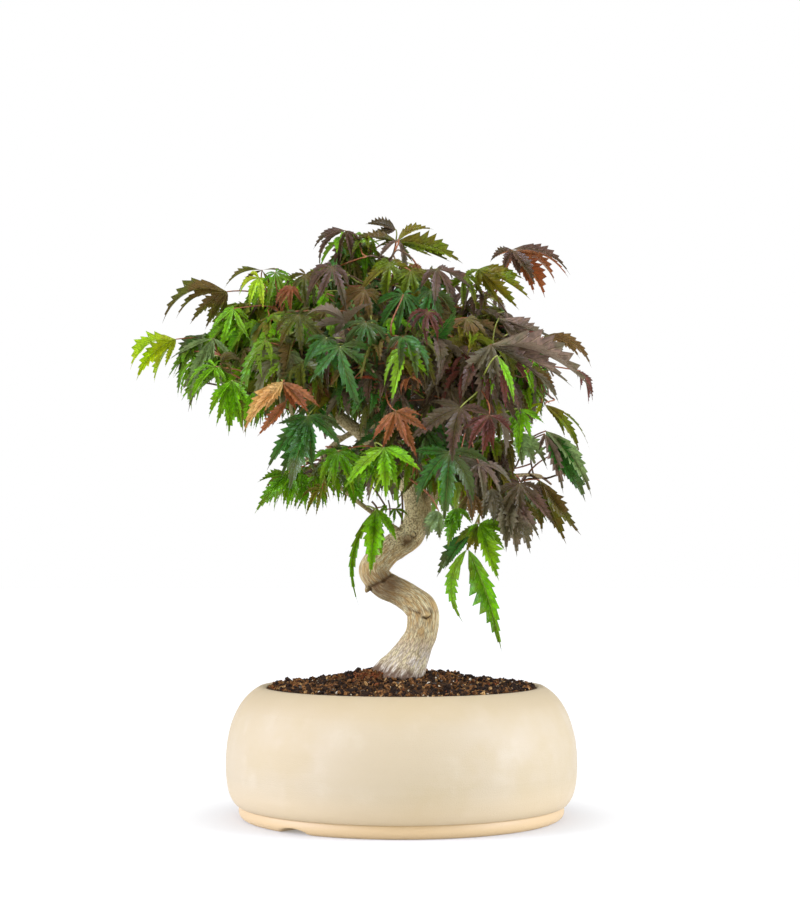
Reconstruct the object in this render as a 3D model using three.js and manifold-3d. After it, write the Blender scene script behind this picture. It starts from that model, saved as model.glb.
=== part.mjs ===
// A Japanese maple grown as a bonsai, in a round bulged pot of pale ceramic.
// Millimetres, +Z up. The origin is on the pot's axis, in the plane of its flat underside,
// and -Y is the side that the tree is meant to be seen from.

import * as THREE from "three";
import { mergeVertices } from "three/addons/utils/BufferGeometryUtils.js";
import Module from "manifold-3d";

const wasm = await Module();
wasm.setup();

// ---------------------------------------------------------------- driving dimensions

const CLEARANCE = 0.3; // left between pieces that touch on the real plant
const WELD = 1e-4; // vertices nearer than this are one vertex
const TIGHTEST_FOLD = 0.75; // of the radius of a limb's bend that its inside may reach to

const POT = {
  height: 88.5,
  lipRadius: 97,
  lipRoll: 3,
  lipWall: 4.8,
  bulgeRadius: 119.5,
  bulgeHeight: 37,
  seamRadius: 111.8,
  seamHeight: 9.5,
  seamStep: 0.8,
  footRadius: 110.5,
  footEdge: 5,
  wall: 8,
  floor: 10,
  cornerRun: 9,
  cornerRise: 8,
  segments: 32,
};

// How the pot's side leaves the seam, passes the bulge and meets the lip.
const SIDE = { seamFlare: [-2.4, 3.7], belowBulge: 14, aboveBulge: 24, lipFlare: [15, -8] };

const DRAIN = {
  count: 2,
  firstTurn: -130,
  width: 24,
  height: 4,
  holeRadius: 6,
  innerEnd: 50,
  holeInset: 9,
  sides: 16,
};

const SOIL = {
  edgeHeight: 85.5,
  moundHeight: 99.5,
  peakX: -3,
  peakY: 2,
  slope: 1.3,
  rimSlope: 4,
  lumpPitch: 0.12,
  rings: 3,
};

const TRUNK = {
  cutHeight: 90,
  sides: 12,
  steps: 28,
  flareShare: 0.2,
  butts: 4,
  buttDepth: 0.13,
  buttTurn: 0.6,
};

// Centre line and radius of the trunk, from under the soil, through its three bends, to the fork.
const TRUNK_STATIONS = [
  [-9.5, -13.5, 80, 21],
  [-2.5, -14, 96, 16.8],
  [5.5, -15, 112, 12.4],
  [13, -18, 127, 10.6],
  [14.5, -19, 140.5, 10.6],
  [4, -15, 151, 9.3],
  [-12, -11, 159.5, 9.2],
  [-18.6, -9, 168, 9.8],
  [-10.5, -7, 179.5, 9.2],
  [5, -5, 190.5, 9.4],
  [11, -4, 204.5, 9.2],
  [8.5, -2, 221.5, 8.5],
  [-3, 0, 239.5, 7.6],
  [-8, 4, 260, 6.2],
];

// Pruning scars on the trunk: where each sits, and the radius of its rounded stump.
const KNOTS = [
  [16.5, -28.6, 139, 2.6],
  [-26.5, -13, 157.5, 2.2],
  [3.5, -14, 189, 2.8],
  [-4.5, -12, 186.5, 2.4],
  [-7.5, -9, 204, 2.2],
];

const BOUGH = { sides: 6, steps: 7, tipShare: 0.55 };

// Each bough leaves the trunk at a share of its length and makes for the middle of a mass.
const BOUGHS = [
  { name: "bough_left", leaves: 0.9, to: "foliage_left", radius: 5.2, lift: 16 },
  { name: "bough_right", leaves: 0.86, to: "foliage_right", radius: 4.8, lift: 12 },
  { name: "bough_leader", leaves: 0.985, to: "foliage_top", radius: 5.4, lift: 0 },
  { name: "bough_back", leaves: 0.93, to: "foliage_back", radius: 4.4, lift: 14 },
  { name: "bough_front", leaves: 0.95, to: "foliage_front", radius: 3.8, lift: 12 },
  { name: "bough_low_back", leaves: 0.8, to: "foliage_low_back", radius: 3.6, lift: 8 },
  { name: "bough_low_right", leaves: 0.76, to: "foliage_low_right", radius: 3.2, lift: 4 },
  { name: "bough_low_left", leaves: 0.66, to: "foliage_low_left", radius: 2, lift: -4 },
];

// A mass is a ball pulled into lobes, with leafy points standing out round its rim.
const MASS = { detail: 2, lobes: 11, lobeReach: 0.34, lobeSharpness: 9, roughness: 0.1 };
const SPRAY = { ...MASS, detail: 1, lobes: 6 };
const POINT = {
  count: 4,
  reach: 1.34,
  dip: 0.45,
  root: 0.45,
  width: 0.26,
  sprayRoot: 0.1,
  sprayWidth: 0.42,
  growth: 4,
  flatness: 0.55,
  sides: 4,
};

// Masses of foliage: middle, half sizes, how far the rim hangs below the middle, seed.
const MASSES = [
  { name: "foliage_top", at: [-10, -8, 376], half: [44, 42, 27], hang: 12, seed: 3 },
  { name: "foliage_upper_left", at: [-82, -22, 343], half: [44, 42, 25], hang: 12, seed: 8 },
  { name: "foliage_upper_right", at: [52, -18, 341], half: [42, 42, 27], hang: 12, seed: 21 },
  { name: "foliage_upper_back", at: [-14, 58, 343], half: [52, 42, 27], hang: 12, seed: 34 },
  { name: "foliage_left", at: [-108, 0, 307], half: [38, 44, 28], hang: 16, seed: 5 },
  { name: "foliage_front_left", at: [-70, -64, 298], half: [40, 38, 31], hang: 14, seed: 13 },
  { name: "foliage_front", at: [-10, -84, 299], half: [37, 35, 35], hang: 14, seed: 11 },
  { name: "foliage_front_right", at: [50, -66, 291], half: [37, 38, 33], hang: 14, seed: 55 },
  { name: "foliage_right", at: [89, 0, 301], half: [33, 44, 28], hang: 16, seed: 89 },
  { name: "foliage_back_right", at: [58, 64, 300], half: [42, 40, 31], hang: 14, seed: 44 },
  { name: "foliage_back", at: [-18, 92, 291], half: [44, 35, 32], hang: 14, seed: 33 },
  { name: "foliage_back_left", at: [-80, 60, 306], half: [40, 40, 30], hang: 14, seed: 17 },
  { name: "foliage_low_left", at: [-60, -44, 239], half: [31, 30, 25], hang: 12, seed: 19 },
  { name: "foliage_low_front", at: [-6, -66, 243], half: [26, 24, 24], hang: 10, seed: 23 },
  { name: "foliage_low_right", at: [54, -32, 232], half: [34, 34, 27], hang: 12, seed: 29 },
  { name: "foliage_low_far_right", at: [98, 12, 238], half: [26, 30, 27], hang: 14, seed: 31 },
  { name: "foliage_low_back", at: [24, 64, 238], half: [38, 33, 27], hang: 12, seed: 37 },
  { name: "foliage_low_back_left", at: [-56, 48, 247], half: [33, 32, 24], hang: 12, seed: 41 },
];

// Sprays of leaves that stand clear of the masses, each with the furthest points it reaches.
const SPRAYS = [
  {
    name: "spray_far_left",
    at: [-164, -10, 317],
    half: [15, 16, 9],
    hang: 6,
    seed: 43,
    points: [[-184, -14, 296], [-176, -20, 293], [-165, -20, 298]],
  },
  {
    name: "spray_arched_left",
    at: [-136, -24, 349],
    half: [18, 16, 8],
    hang: 7,
    seed: 47,
    points: [[-161, -26, 333], [-148, -36, 338]],
  },
  {
    name: "spray_upper_right",
    at: [85, -26, 371],
    half: [19, 18, 10],
    hang: 7,
    seed: 53,
    points: [[113, -26, 352], [95, -36, 348], [104, -16, 350]],
  },
  {
    name: "spray_hanging_right",
    at: [45, -42, 184],
    half: [16, 13, 16],
    hang: 0,
    seed: 59,
    points: [[65, -46, 116], [42, -48, 134], [27, -44, 160], [64, -40, 145]],
  },
  {
    name: "spray_over_trunk",
    at: [-15, -28, 199],
    half: [11, 11, 12],
    hang: 0,
    seed: 61,
    points: [[-30, -36, 148], [-20, -40, 167], [-11, -38, 174], [-3, -35, 183]],
  },
];

const TUFTS = [...MASSES, ...SPRAYS];

// ---------------------------------------------------------------- materials

const finish = (color, roughness) => new THREE.MeshStandardMaterial({ color, roughness, metalness: 0 });
const ceramic = () => finish(0xead9b5, 0.6);
const earth = () => finish(0x3a2a1e, 0.95);
const bark = () => finish(0xb5a184, 0.8);
const greenLeaf = () => finish(0x3f7a2c, 0.55);
const BRONZE_FROM = 30; // masses further to the right than this have turned bronze
const bronzeLeaf = () => finish(0x5c4440, 0.55);

// ---------------------------------------------------------------- solids

// The geometry with its shared vertices merged and its collapsed triangles dropped.
function welded(geometry) {
  const bare = geometry.clone();
  bare.deleteAttribute("normal");
  bare.deleteAttribute("uv");
  const merged = mergeVertices(bare, WELD);
  const kept = [];
  const index = merged.index.array;
  for (let i = 0; i < index.length; i += 3) {
    const [a, b, c] = [index[i], index[i + 1], index[i + 2]];
    if (a !== b && b !== c && c !== a) kept.push(a, b, c);
  }
  merged.setIndex(kept);
  return merged;
}

function solidOf(geometry) {
  const mesh = welded(geometry);
  return new wasm.Manifold(
    new wasm.Mesh({
      numProp: 3,
      vertProperties: mesh.attributes.position.array,
      triVerts: Uint32Array.from(mesh.index.array),
    }),
  );
}

function geometryOf(solid) {
  const mesh = solid.getMesh();
  const geometry = new THREE.BufferGeometry();
  geometry.setAttribute("position", new THREE.BufferAttribute(mesh.vertProperties, 3));
  geometry.setIndex(new THREE.BufferAttribute(mesh.triVerts, 1));
  geometry.computeVertexNormals();
  return geometry;
}

// Cutting can leave crumbs behind: only the largest body of a solid is kept.
function largestBody(solid) {
  return solid.decompose().reduce((best, body) => (body.volume() > best.volume() ? body : best));
}

// The body whose box lies nearest to a point.
function nearestBody(bodies, point) {
  const distance = (body) => {
    const { min, max } = body.boundingBox();
    return new THREE.Box3(new THREE.Vector3(...min), new THREE.Vector3(...max)).distanceToPoint(point);
  };
  return bodies.reduce((best, body) => (distance(body) < distance(best) ? body : best));
}

function latheSolid(profile, segments) {
  const points = profile.map(([radius, height]) => new THREE.Vector2(radius, height));
  return solidOf(new THREE.LatheGeometry(points, segments).rotateX(Math.PI / 2));
}

// Repeatable random numbers from 0 to 1.
function seededRandom(seed) {
  let state = seed * 2654435761;
  return () => {
    state = (state + 0x6d2b79f5) | 0;
    let mixed = Math.imul(state ^ (state >>> 15), 1 | state);
    mixed = (mixed + Math.imul(mixed ^ (mixed >>> 7), 61 | mixed)) ^ mixed;
    return ((mixed ^ (mixed >>> 14)) >>> 0) / 4294967296;
  };
}

// ---------------------------------------------------------------- pot and soil

const pairOf = (point) => [point.x, point.y];

// The pot's outer side from the seam over the foot, round the bulge, to the crest of the lip,
// moved inwards by the given thickness.
function bulgeProfile(inset, pieces) {
  const { seamRadius, seamHeight, bulgeRadius, bulgeHeight, lipRadius, height } = POT;
  const at = (radius, z) => new THREE.Vector2(radius - inset, z);
  const lipInset = Math.min(inset, POT.lipWall);
  const lower = new THREE.CubicBezierCurve(
    at(seamRadius, seamHeight),
    at(bulgeRadius + SIDE.seamFlare[0], seamHeight + SIDE.seamFlare[1]),
    at(bulgeRadius, bulgeHeight - SIDE.belowBulge),
    at(bulgeRadius, bulgeHeight),
  );
  const upper = new THREE.CubicBezierCurve(
    at(bulgeRadius, bulgeHeight),
    at(bulgeRadius, bulgeHeight + SIDE.aboveBulge),
    at(lipRadius + SIDE.lipFlare[0], height + SIDE.lipFlare[1]),
    new THREE.Vector2(lipRadius - lipInset, height - (inset ? POT.lipRoll : 0)),
  );
  return [...lower.getPoints(pieces), ...upper.getPoints(pieces).slice(1)].map(pairOf);
}

// The inside of the pot from the middle of its floor up to a height, held in by a clearance.
function cavityProfile(clearance, topHeight) {
  const whole = bulgeProfile(POT.wall + clearance, 3);
  const side = whole.filter(([, z]) => z > POT.floor + POT.cornerRise && z < topHeight - 1);
  const topRadius = whole.at(-1)[0] - clearance;
  const floorHeight = POT.floor + clearance;
  return [[0, floorHeight], [side[0][0] - POT.cornerRun, floorHeight], ...side, [topRadius, topHeight]];
}

// The grooves pressed into the underside, each with a drain hole near its inner end.
function drainTools() {
  const tools = [];
  for (let i = 0; i < DRAIN.count; i += 1) {
    const turn = THREE.MathUtils.degToRad(DRAIN.firstTurn + (360 / DRAIN.count) * i);
    const reach = POT.bulgeRadius - DRAIN.innerEnd;
    const groove = new THREE.CylinderGeometry(DRAIN.width / 2, DRAIN.width / 2, reach, DRAIN.sides)
      .scale(1, 1, (2 * DRAIN.height) / DRAIN.width)
      .rotateZ(Math.PI / 2)
      .translate(DRAIN.innerEnd + reach / 2, 0, 0);
    const hole = new THREE.CylinderGeometry(DRAIN.holeRadius, DRAIN.holeRadius, 3 * POT.floor, DRAIN.sides)
      .rotateX(Math.PI / 2)
      .translate(DRAIN.innerEnd + DRAIN.holeInset, 0, 0);
    tools.push(solidOf(groove.rotateZ(turn)), solidOf(hole.rotateZ(turn)));
  }
  return tools;
}

function potSolid() {
  const { footRadius, footEdge, seamHeight, height, lipRadius, lipRoll, segments } = POT;
  const flatRadius = footRadius - footEdge;
  const edge = new THREE.EllipseCurve(flatRadius, footEdge, footEdge, footEdge, -Math.PI / 2, 0);
  const foot = [[0, 0], ...edge.getPoints(2).map(pairOf), [footRadius, seamHeight - POT.seamStep]];
  const outside = [...foot, ...bulgeProfile(0, 5)];
  const lip = [[lipRadius - lipRoll, height - lipRoll / 5], [lipRadius - POT.lipWall, height - lipRoll]];
  const body = latheSolid([...outside, ...lip, [0, height - lipRoll]], segments);
  const cavity = latheSolid([...cavityProfile(0, height + 1), [0, height + 1]], segments);
  return drainTools().reduce((pot, tool) => pot.subtract(tool), body.subtract(cavity));
}

// How high the soil stands at a place: a low mound, highest behind the trunk's foot.
function soilHeight(x, y, edgeRadius) {
  const fromPeak = Math.hypot(x - SOIL.peakX, y - SOIL.peakY) / edgeRadius;
  const fromAxis = Math.hypot(x, y) / edgeRadius;
  const mound = Math.max(0, 1 - fromPeak ** SOIL.slope) * (1 - fromAxis ** SOIL.rimSlope);
  const lumps = Math.sin(x * SOIL.lumpPitch + 1) * Math.cos(y * SOIL.lumpPitch) * (1 - fromAxis ** 2);
  return SOIL.edgeHeight + (SOIL.moundHeight - SOIL.edgeHeight) * mound + lumps;
}

// The soil fills the pot, and only its top, inside the outermost ring, is mounded.
function soilSolid() {
  const profile = cavityProfile(CLEARANCE, SOIL.edgeHeight);
  const edgeRadius = profile.at(-1)[0];
  const top = [];
  for (let ring = SOIL.rings - 1; ring >= 0; ring -= 1) {
    top.push(new THREE.Vector2((edgeRadius * ring) / SOIL.rings, SOIL.edgeHeight));
  }
  const outline = [...profile.map(([r, z]) => new THREE.Vector2(r, z)), ...top];
  const geometry = new THREE.LatheGeometry(outline, POT.segments).rotateX(Math.PI / 2);
  const place = geometry.attributes.position;
  for (let i = 0; i < place.count; i += 1) {
    const [x, y] = [place.getX(i), place.getY(i)];
    const onTop = place.getZ(i) > SOIL.edgeHeight - WELD && Math.hypot(x, y) < edgeRadius - WELD * 10;
    if (onTop) place.setZ(i, soilHeight(x, y, edgeRadius));
  }
  return solidOf(geometry);
}

// ---------------------------------------------------------------- trunk and boughs

// How sharply a path turns towards a direction, in the sharper of the two runs beside a step.
function bendTowards(direction, tangents, step, run) {
  const turn = (k) => (tangents[k + 1] && tangents[k] ? tangents[k + 1].clone().sub(tangents[k]) : null);
  const turns = [turn(step - 1), turn(step)].filter((change) => change !== null);
  return Math.max(...turns.map((change) => direction.dot(change) / run));
}

// A round bar bent along a curve, larger all round by grow. radiusAt(share, angle) gives its
// radius round each ring, which is held in on the inside of a sharp bend so that no rings cross.
function limbSolid(path, radiusAt, sides, steps, grow) {
  const geometry = new THREE.CylinderGeometry(1, 1, 1, sides, steps);
  const frames = path.computeFrenetFrames(steps, false);
  const run = path.getLength() / steps;
  const place = geometry.attributes.position;
  for (let i = 0; i < place.count; i += 1) {
    const [x, y, z] = [place.getX(i), place.getY(i), place.getZ(i)];
    const step = Math.round((y + 0.5) * steps);
    const angle = Math.atan2(x, z);
    const outward = frames.normals[step].clone().multiplyScalar(Math.cos(angle));
    outward.addScaledVector(frames.binormals[step], Math.sin(angle));
    const bend = bendTowards(outward, frames.tangents, step, run);
    const tightest = TIGHTEST_FOLD / Math.max(bend, WELD);
    const reach = Math.hypot(x, z) * (Math.min(radiusAt(step / steps, angle), tightest) + grow);
    const pastEnd = step === 0 ? -grow : step === steps ? grow : 0;
    const point = path.getPointAt(step / steps).addScaledVector(frames.tangents[step], pastEnd);
    point.addScaledVector(outward, reach);
    place.setXYZ(i, point.x, point.y, point.z);
  }
  return solidOf(geometry);
}

const trunkPath = new THREE.CatmullRomCurve3(TRUNK_STATIONS.map(([x, y, z]) => new THREE.Vector3(x, y, z)));

// The trunk's radius at a share of its length, eased between the stations.
function trunkRadius(share) {
  const t = trunkPath.getUtoTmapping(share) * (TRUNK_STATIONS.length - 1);
  const before = Math.min(Math.floor(t), TRUNK_STATIONS.length - 2);
  return THREE.MathUtils.lerp(TRUNK_STATIONS[before][3], TRUNK_STATIONS[before + 1][3], t - before);
}

// The trunk with its root butts and knots, cut off flat, and larger all round by grow.
function trunkSolid(grow) {
  const radiusAt = (share, angle) => {
    const flare = Math.max(0, 1 - share / TRUNK.flareShare);
    const butts = 1 + TRUNK.buttDepth * flare * Math.cos(TRUNK.butts * angle + TRUNK.buttTurn);
    return trunkRadius(share) * butts;
  };
  const bar = limbSolid(trunkPath, radiusAt, TRUNK.sides, TRUNK.steps, grow);
  const stumps = KNOTS.map(([x, y, z, radius]) =>
    solidOf(new THREE.IcosahedronGeometry(radius + grow, 1).translate(x, y, z)),
  );
  const whole = stumps.reduce((solid, stump) => solid.add(stump), bar);
  return largestBody(whole.trimByPlane([0, 0, 1], TRUNK.cutHeight - grow));
}

// A bough rises out of the trunk and bends over towards the middle of its mass.
function boughSolid({ leaves, to, radius, lift }, grow) {
  const start = trunkPath.getPointAt(leaves);
  const end = new THREE.Vector3(...MASSES.find(({ name }) => name === to).at);
  const knee = start.clone().lerp(end, 0.5).add(new THREE.Vector3(0, 0, lift));
  const path = new THREE.QuadraticBezierCurve3(start, knee, end);
  const radiusAt = (share) => radius * (1 - (1 - BOUGH.tipShare) * share);
  return limbSolid(path, radiusAt, BOUGH.sides, BOUGH.steps, grow);
}

// ---------------------------------------------------------------- foliage

// Directions spread evenly over a ball and then shaken.
function spreadDirections(count, random) {
  const golden = Math.PI * (3 - Math.sqrt(5));
  return Array.from({ length: count }, (_, i) => {
    const height = 1 - (2 * (i + 0.5)) / count;
    const turn = golden * i + random() * 1.4;
    const flat = Math.sqrt(1 - height * height);
    return new THREE.Vector3(Math.cos(turn) * flat, Math.sin(turn) * flat, height);
  });
}

// The uneven body of a mass, whose rim hangs below its middle.
function lobedSolid({ at, half, hang }, form, random) {
  const lobes = spreadDirections(form.lobes, random);
  const reaches = lobes.map(() => form.lobeReach * (0.4 + 0.9 * random()));
  const phase = random() * 6;
  const geometry = welded(new THREE.IcosahedronGeometry(1, form.detail));
  const place = geometry.attributes.position;
  const direction = new THREE.Vector3();
  for (let i = 0; i < place.count; i += 1) {
    direction.fromBufferAttribute(place, i).normalize();
    let swell = 1 + form.roughness * Math.sin(phase + 5 * direction.x) * Math.cos(phase + 6 * direction.y);
    lobes.forEach((lobe, k) => {
      swell += reaches[k] * Math.max(0, direction.dot(lobe)) ** form.lobeSharpness;
    });
    const flat = Math.hypot(direction.x, direction.y) * swell;
    place.setXYZ(
      i,
      at[0] + direction.x * half[0] * swell,
      at[1] + direction.y * half[1] * swell,
      at[2] + direction.z * half[2] * swell - hang * flat * flat,
    );
  }
  return solidOf(geometry);
}

// A leafy point: a flattened spike from inside the body to its tip.
function pointSolid(root, tip, width) {
  const along = tip.clone().sub(root);
  const spike = new THREE.ConeGeometry(width, along.length(), POINT.sides)
    .scale(1, 1, POINT.flatness)
    .translate(0, along.length() / 2, 0)
    .applyQuaternion(new THREE.Quaternion().setFromUnitVectors(THREE.Object3D.DEFAULT_UP, along.normalize()))
    .translate(root.x, root.y, root.z);
  return solidOf(spike);
}

// Where the leafy points of a mass end: evenly round its rim, and a little below it.
function rimTips({ at, half, hang }, random) {
  const [x, y, z] = at;
  return Array.from({ length: POINT.count }, (_, i) => {
    const turn = (2 * Math.PI * (i + 0.7 * random())) / POINT.count;
    const reach = POINT.reach * (0.94 + 0.14 * random());
    const dip = half[2] * POINT.dip * (0.5 + random());
    const out = [half[0] * Math.cos(turn) * reach, half[1] * Math.sin(turn) * reach];
    return new THREE.Vector3(x + out[0], y + out[1], z - hang - dip);
  });
}

// A whole mass or spray, larger all round by grow.
function tuftSolid(tuft, grow) {
  const random = seededRandom(tuft.seed);
  const fat = { ...tuft, half: tuft.half.map((size) => size + grow) };
  const middle = new THREE.Vector3(...tuft.at);
  const body = lobedSolid(fat, tuft.points ? SPRAY : MASS, random);
  const tips = tuft.points ? tuft.points.map((tip) => new THREE.Vector3(...tip)) : rimTips(tuft, random);
  const share = tuft.points ? POINT.sprayWidth : POINT.width;
  const width = share * Math.min(tuft.half[0], tuft.half[1]) + grow;
  return tips.reduce((solid, tip) => {
    const root = middle.clone().lerp(tip, tuft.points ? POINT.sprayRoot : POINT.root);
    const end = tip.clone().addScaledVector(tip.clone().sub(root).normalize(), grow * POINT.growth);
    return solid.add(pointSolid(root, end, width));
  }, body);
}

// How far an ellipsoid of these half sizes reaches along a direction.
function reachAlong(half, direction) {
  return 1 / Math.hypot(direction.x / half[0], direction.y / half[1], direction.z / half[2]);
}

// The flats along which neighbours that would run into each other are parted.
function partings(whole) {
  const flats = [];
  for (let i = 0; i < whole.length; i += 1) {
    for (let j = i + 1; j < whole.length; j += 1) {
      if (whole[i].minGap(whole[j], 1) >= CLEARANCE) continue;
      const from = new THREE.Vector3(...TUFTS[i].at);
      const away = new THREE.Vector3(...TUFTS[j].at).sub(from);
      const apart = away.length();
      away.normalize();
      const [near, far] = [i, j].map((k) => reachAlong(TUFTS[k].half, away));
      flats.push({ i, j, away, middle: from.dot(away) + (apart * near) / (near + far) });
    }
  }
  return flats;
}

// The masses and sprays with a clearance between neighbours, each larger all round by grow.
function partedTufts(flats, grow) {
  const cut = TUFTS.map((tuft) => tuftSolid(tuft, grow));
  const back = CLEARANCE / 2 - grow;
  flats.forEach(({ i, j, away, middle }) => {
    cut[i] = cut[i].trimByPlane(away.clone().negate().toArray(), back - middle);
    cut[j] = cut[j].trimByPlane(away.toArray(), middle + back);
  });
  return cut.map(largestBody);
}

// ---------------------------------------------------------------- assembly

const tree = new THREE.Group();

function place(name, solid, material) {
  const mesh = new THREE.Mesh(geometryOf(solid), material);
  mesh.name = name;
  tree.add(mesh);
}

const trunk = trunkSolid(0);
const trunkSpace = trunkSolid(CLEARANCE);
const flats = partings(TUFTS.map((tuft) => tuftSolid(tuft, 0)));
const tufts = partedTufts(flats, 0).map((tuft) => largestBody(tuft.subtract(trunkSpace)));
const massSpace = partedTufts(flats, CLEARANCE)
  .slice(0, MASSES.length)
  .reduce((sum, mass) => sum.add(mass));

place("pot", potSolid(), ceramic());
place("soil", largestBody(soilSolid().subtract(trunkSpace)), earth());
place("trunk", trunk, bark());

let woodSpace = trunkSpace;
BOUGHS.forEach((bough) => {
  const bodies = boughSolid(bough, 0).subtract(woodSpace).subtract(massSpace).decompose();
  place(bough.name, nearestBody(bodies, trunkPath.getPointAt(bough.leaves)), bark());
  woodSpace = woodSpace.add(boughSolid(bough, CLEARANCE));
});

TUFTS.forEach(({ name, at, points }, i) => {
  const tuft = points ? largestBody(tufts[i].subtract(woodSpace)) : tufts[i];
  place(name, tuft, at[0] > BRONZE_FROM ? bronzeLeaf() : greenLeaf());
});

export default tree;
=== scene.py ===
"""Looks of a Japanese maple bonsai in a round bulged pot of pale unglazed ceramic.

The wood, the leaves and the soil are grown here by seeded rules round the fixed frame.
Lengths are metres, +Z is up, and -Y is the side that the tree is meant to be seen from.
"""
import math

import bpy
import numpy as np
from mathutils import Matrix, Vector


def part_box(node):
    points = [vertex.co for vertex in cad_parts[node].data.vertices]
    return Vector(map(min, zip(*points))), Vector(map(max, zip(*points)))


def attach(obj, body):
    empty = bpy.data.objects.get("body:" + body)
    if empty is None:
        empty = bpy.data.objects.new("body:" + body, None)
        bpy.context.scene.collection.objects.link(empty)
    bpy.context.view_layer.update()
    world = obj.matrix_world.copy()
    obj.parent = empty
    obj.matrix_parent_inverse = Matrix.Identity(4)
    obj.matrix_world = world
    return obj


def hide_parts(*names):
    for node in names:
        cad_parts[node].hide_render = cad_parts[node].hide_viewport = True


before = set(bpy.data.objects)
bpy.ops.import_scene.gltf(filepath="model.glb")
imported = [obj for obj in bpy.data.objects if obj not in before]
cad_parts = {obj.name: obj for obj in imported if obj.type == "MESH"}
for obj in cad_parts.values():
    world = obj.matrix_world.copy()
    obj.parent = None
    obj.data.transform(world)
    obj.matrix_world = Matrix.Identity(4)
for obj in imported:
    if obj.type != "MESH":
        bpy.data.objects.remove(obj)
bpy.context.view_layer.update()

MM = 0.001
UP = np.array([0.0, 0.0, 1.0])
DOWN = -UP
WHOLE_TURN = 2 * np.pi

# ------------------------------------------------------------------ sizes

POT = {
    "height": 88.5 * MM, "lip_radius": 97 * MM, "lip_roll": 3 * MM, "lip_wall": 4.8 * MM,
    "bulge_radius": 119.5 * MM, "bulge_height": 37 * MM, "seam_radius": 111.8 * MM,
    "seam_height": 9.5 * MM, "foot_radius": 110.5 * MM, "foot_edge": 5 * MM,
    "wall": 8 * MM, "floor": 10 * MM,
}
AXIS_GAP = 0.5 * MM  # how near to its axis a turned surface is closed
GROOVE = {"turns": (-130, 50), "width": 24 * MM, "height": 4 * MM, "inner_end": 50 * MM}
SOIL = {"edge": 85.5 * MM, "mound": 99.5 * MM, "peak": (-3 * MM, 2 * MM), "radius": 91.6 * MM,
        "heaped": 2.6 * MM, "gap": 0.4 * MM}

# Centre line and radius of the trunk, in millimetres, from under the soil to the fork.
TRUNK_STATIONS = np.array([
    (-9.5, -13.5, 80, 21), (-1.5, -14, 96, 16.6), (7.3, -15, 112, 12), (13.9, -18, 127, 10.4),
    (13.7, -19, 140.5, 10.6), (2.6, -15, 150.6, 9.3), (-12.6, -11, 158.6, 9.3), (-18.8, -9, 167.2, 9.9),
    (-10.5, -7, 179.5, 9.2), (5, -5, 190.5, 9.4), (11, -4, 204.5, 9.2), (8.5, -2, 221.5, 8.5),
    (-3, 0, 239.5, 7.6), (-8, 4, 260, 6.2),
]) * MM

# Each bough leaves the trunk at a share of its length and makes for the middle of a mass.
# Share of the trunk's length, end, radius and lift of its bow, in millimetres.
BOUGHS = {
    "bough_left": (0.9, (-108, 0, 307), 5.2, 16), "bough_right": (0.86, (89, 0, 301), 4.8, 12),
    "bough_leader": (0.985, (-10, -8, 376), 5.4, 0), "bough_back": (0.93, (-18, 92, 291), 4.4, 14),
    "bough_front": (0.95, (-10, -84, 299), 3.8, 12), "bough_low_back": (0.8, (24, 64, 238), 3.6, 8),
    "bough_low_right": (0.76, (54, -32, 232), 3.2, 4), "bough_low_left": (0.66, (-60, -44, 239), 2.0, -4),
}

# ------------------------------------------------------------------ small tools for shapes


def unit(vectors):
    vectors = np.asarray(vectors, float)
    return vectors / np.maximum(np.linalg.norm(vectors, axis=-1, keepdims=True), 1e-12)


NOISE_PRIMES = np.array([374761393, 668265263, 1274126177])


def noise(points, size, seed):
    """Smooth noise from -1 to 1 at each point, in lumps of about the given size."""
    place = np.asarray(points, float) / size + seed * 17.31
    low = np.floor(place).astype(np.int64)
    part = place - low
    part = part * part * (3 - 2 * part)
    total = np.zeros(place.shape[:-1])
    for corner in np.ndindex(2, 2, 2):
        mixed = (low + corner) @ NOISE_PRIMES + seed * 974634777
        mixed = (mixed ^ (mixed >> 13)) * 1103515245 & 0x7FFFFFFF
        mixed = (mixed ^ (mixed >> 15)) & 0xFFFF
        share = np.prod(np.where(corner, part, 1 - part), axis=-1)
        total += share * (mixed / 0x7FFF - 1)
    return total


def ease(value, low, high):
    """0 below low, 1 above high and a smooth step between."""
    part = np.clip((value - low) / (high - low), 0, 1)
    return part * part * (3 - 2 * part)


def bell(distance, width):
    return np.exp(-((distance / width) ** 2))


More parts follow.
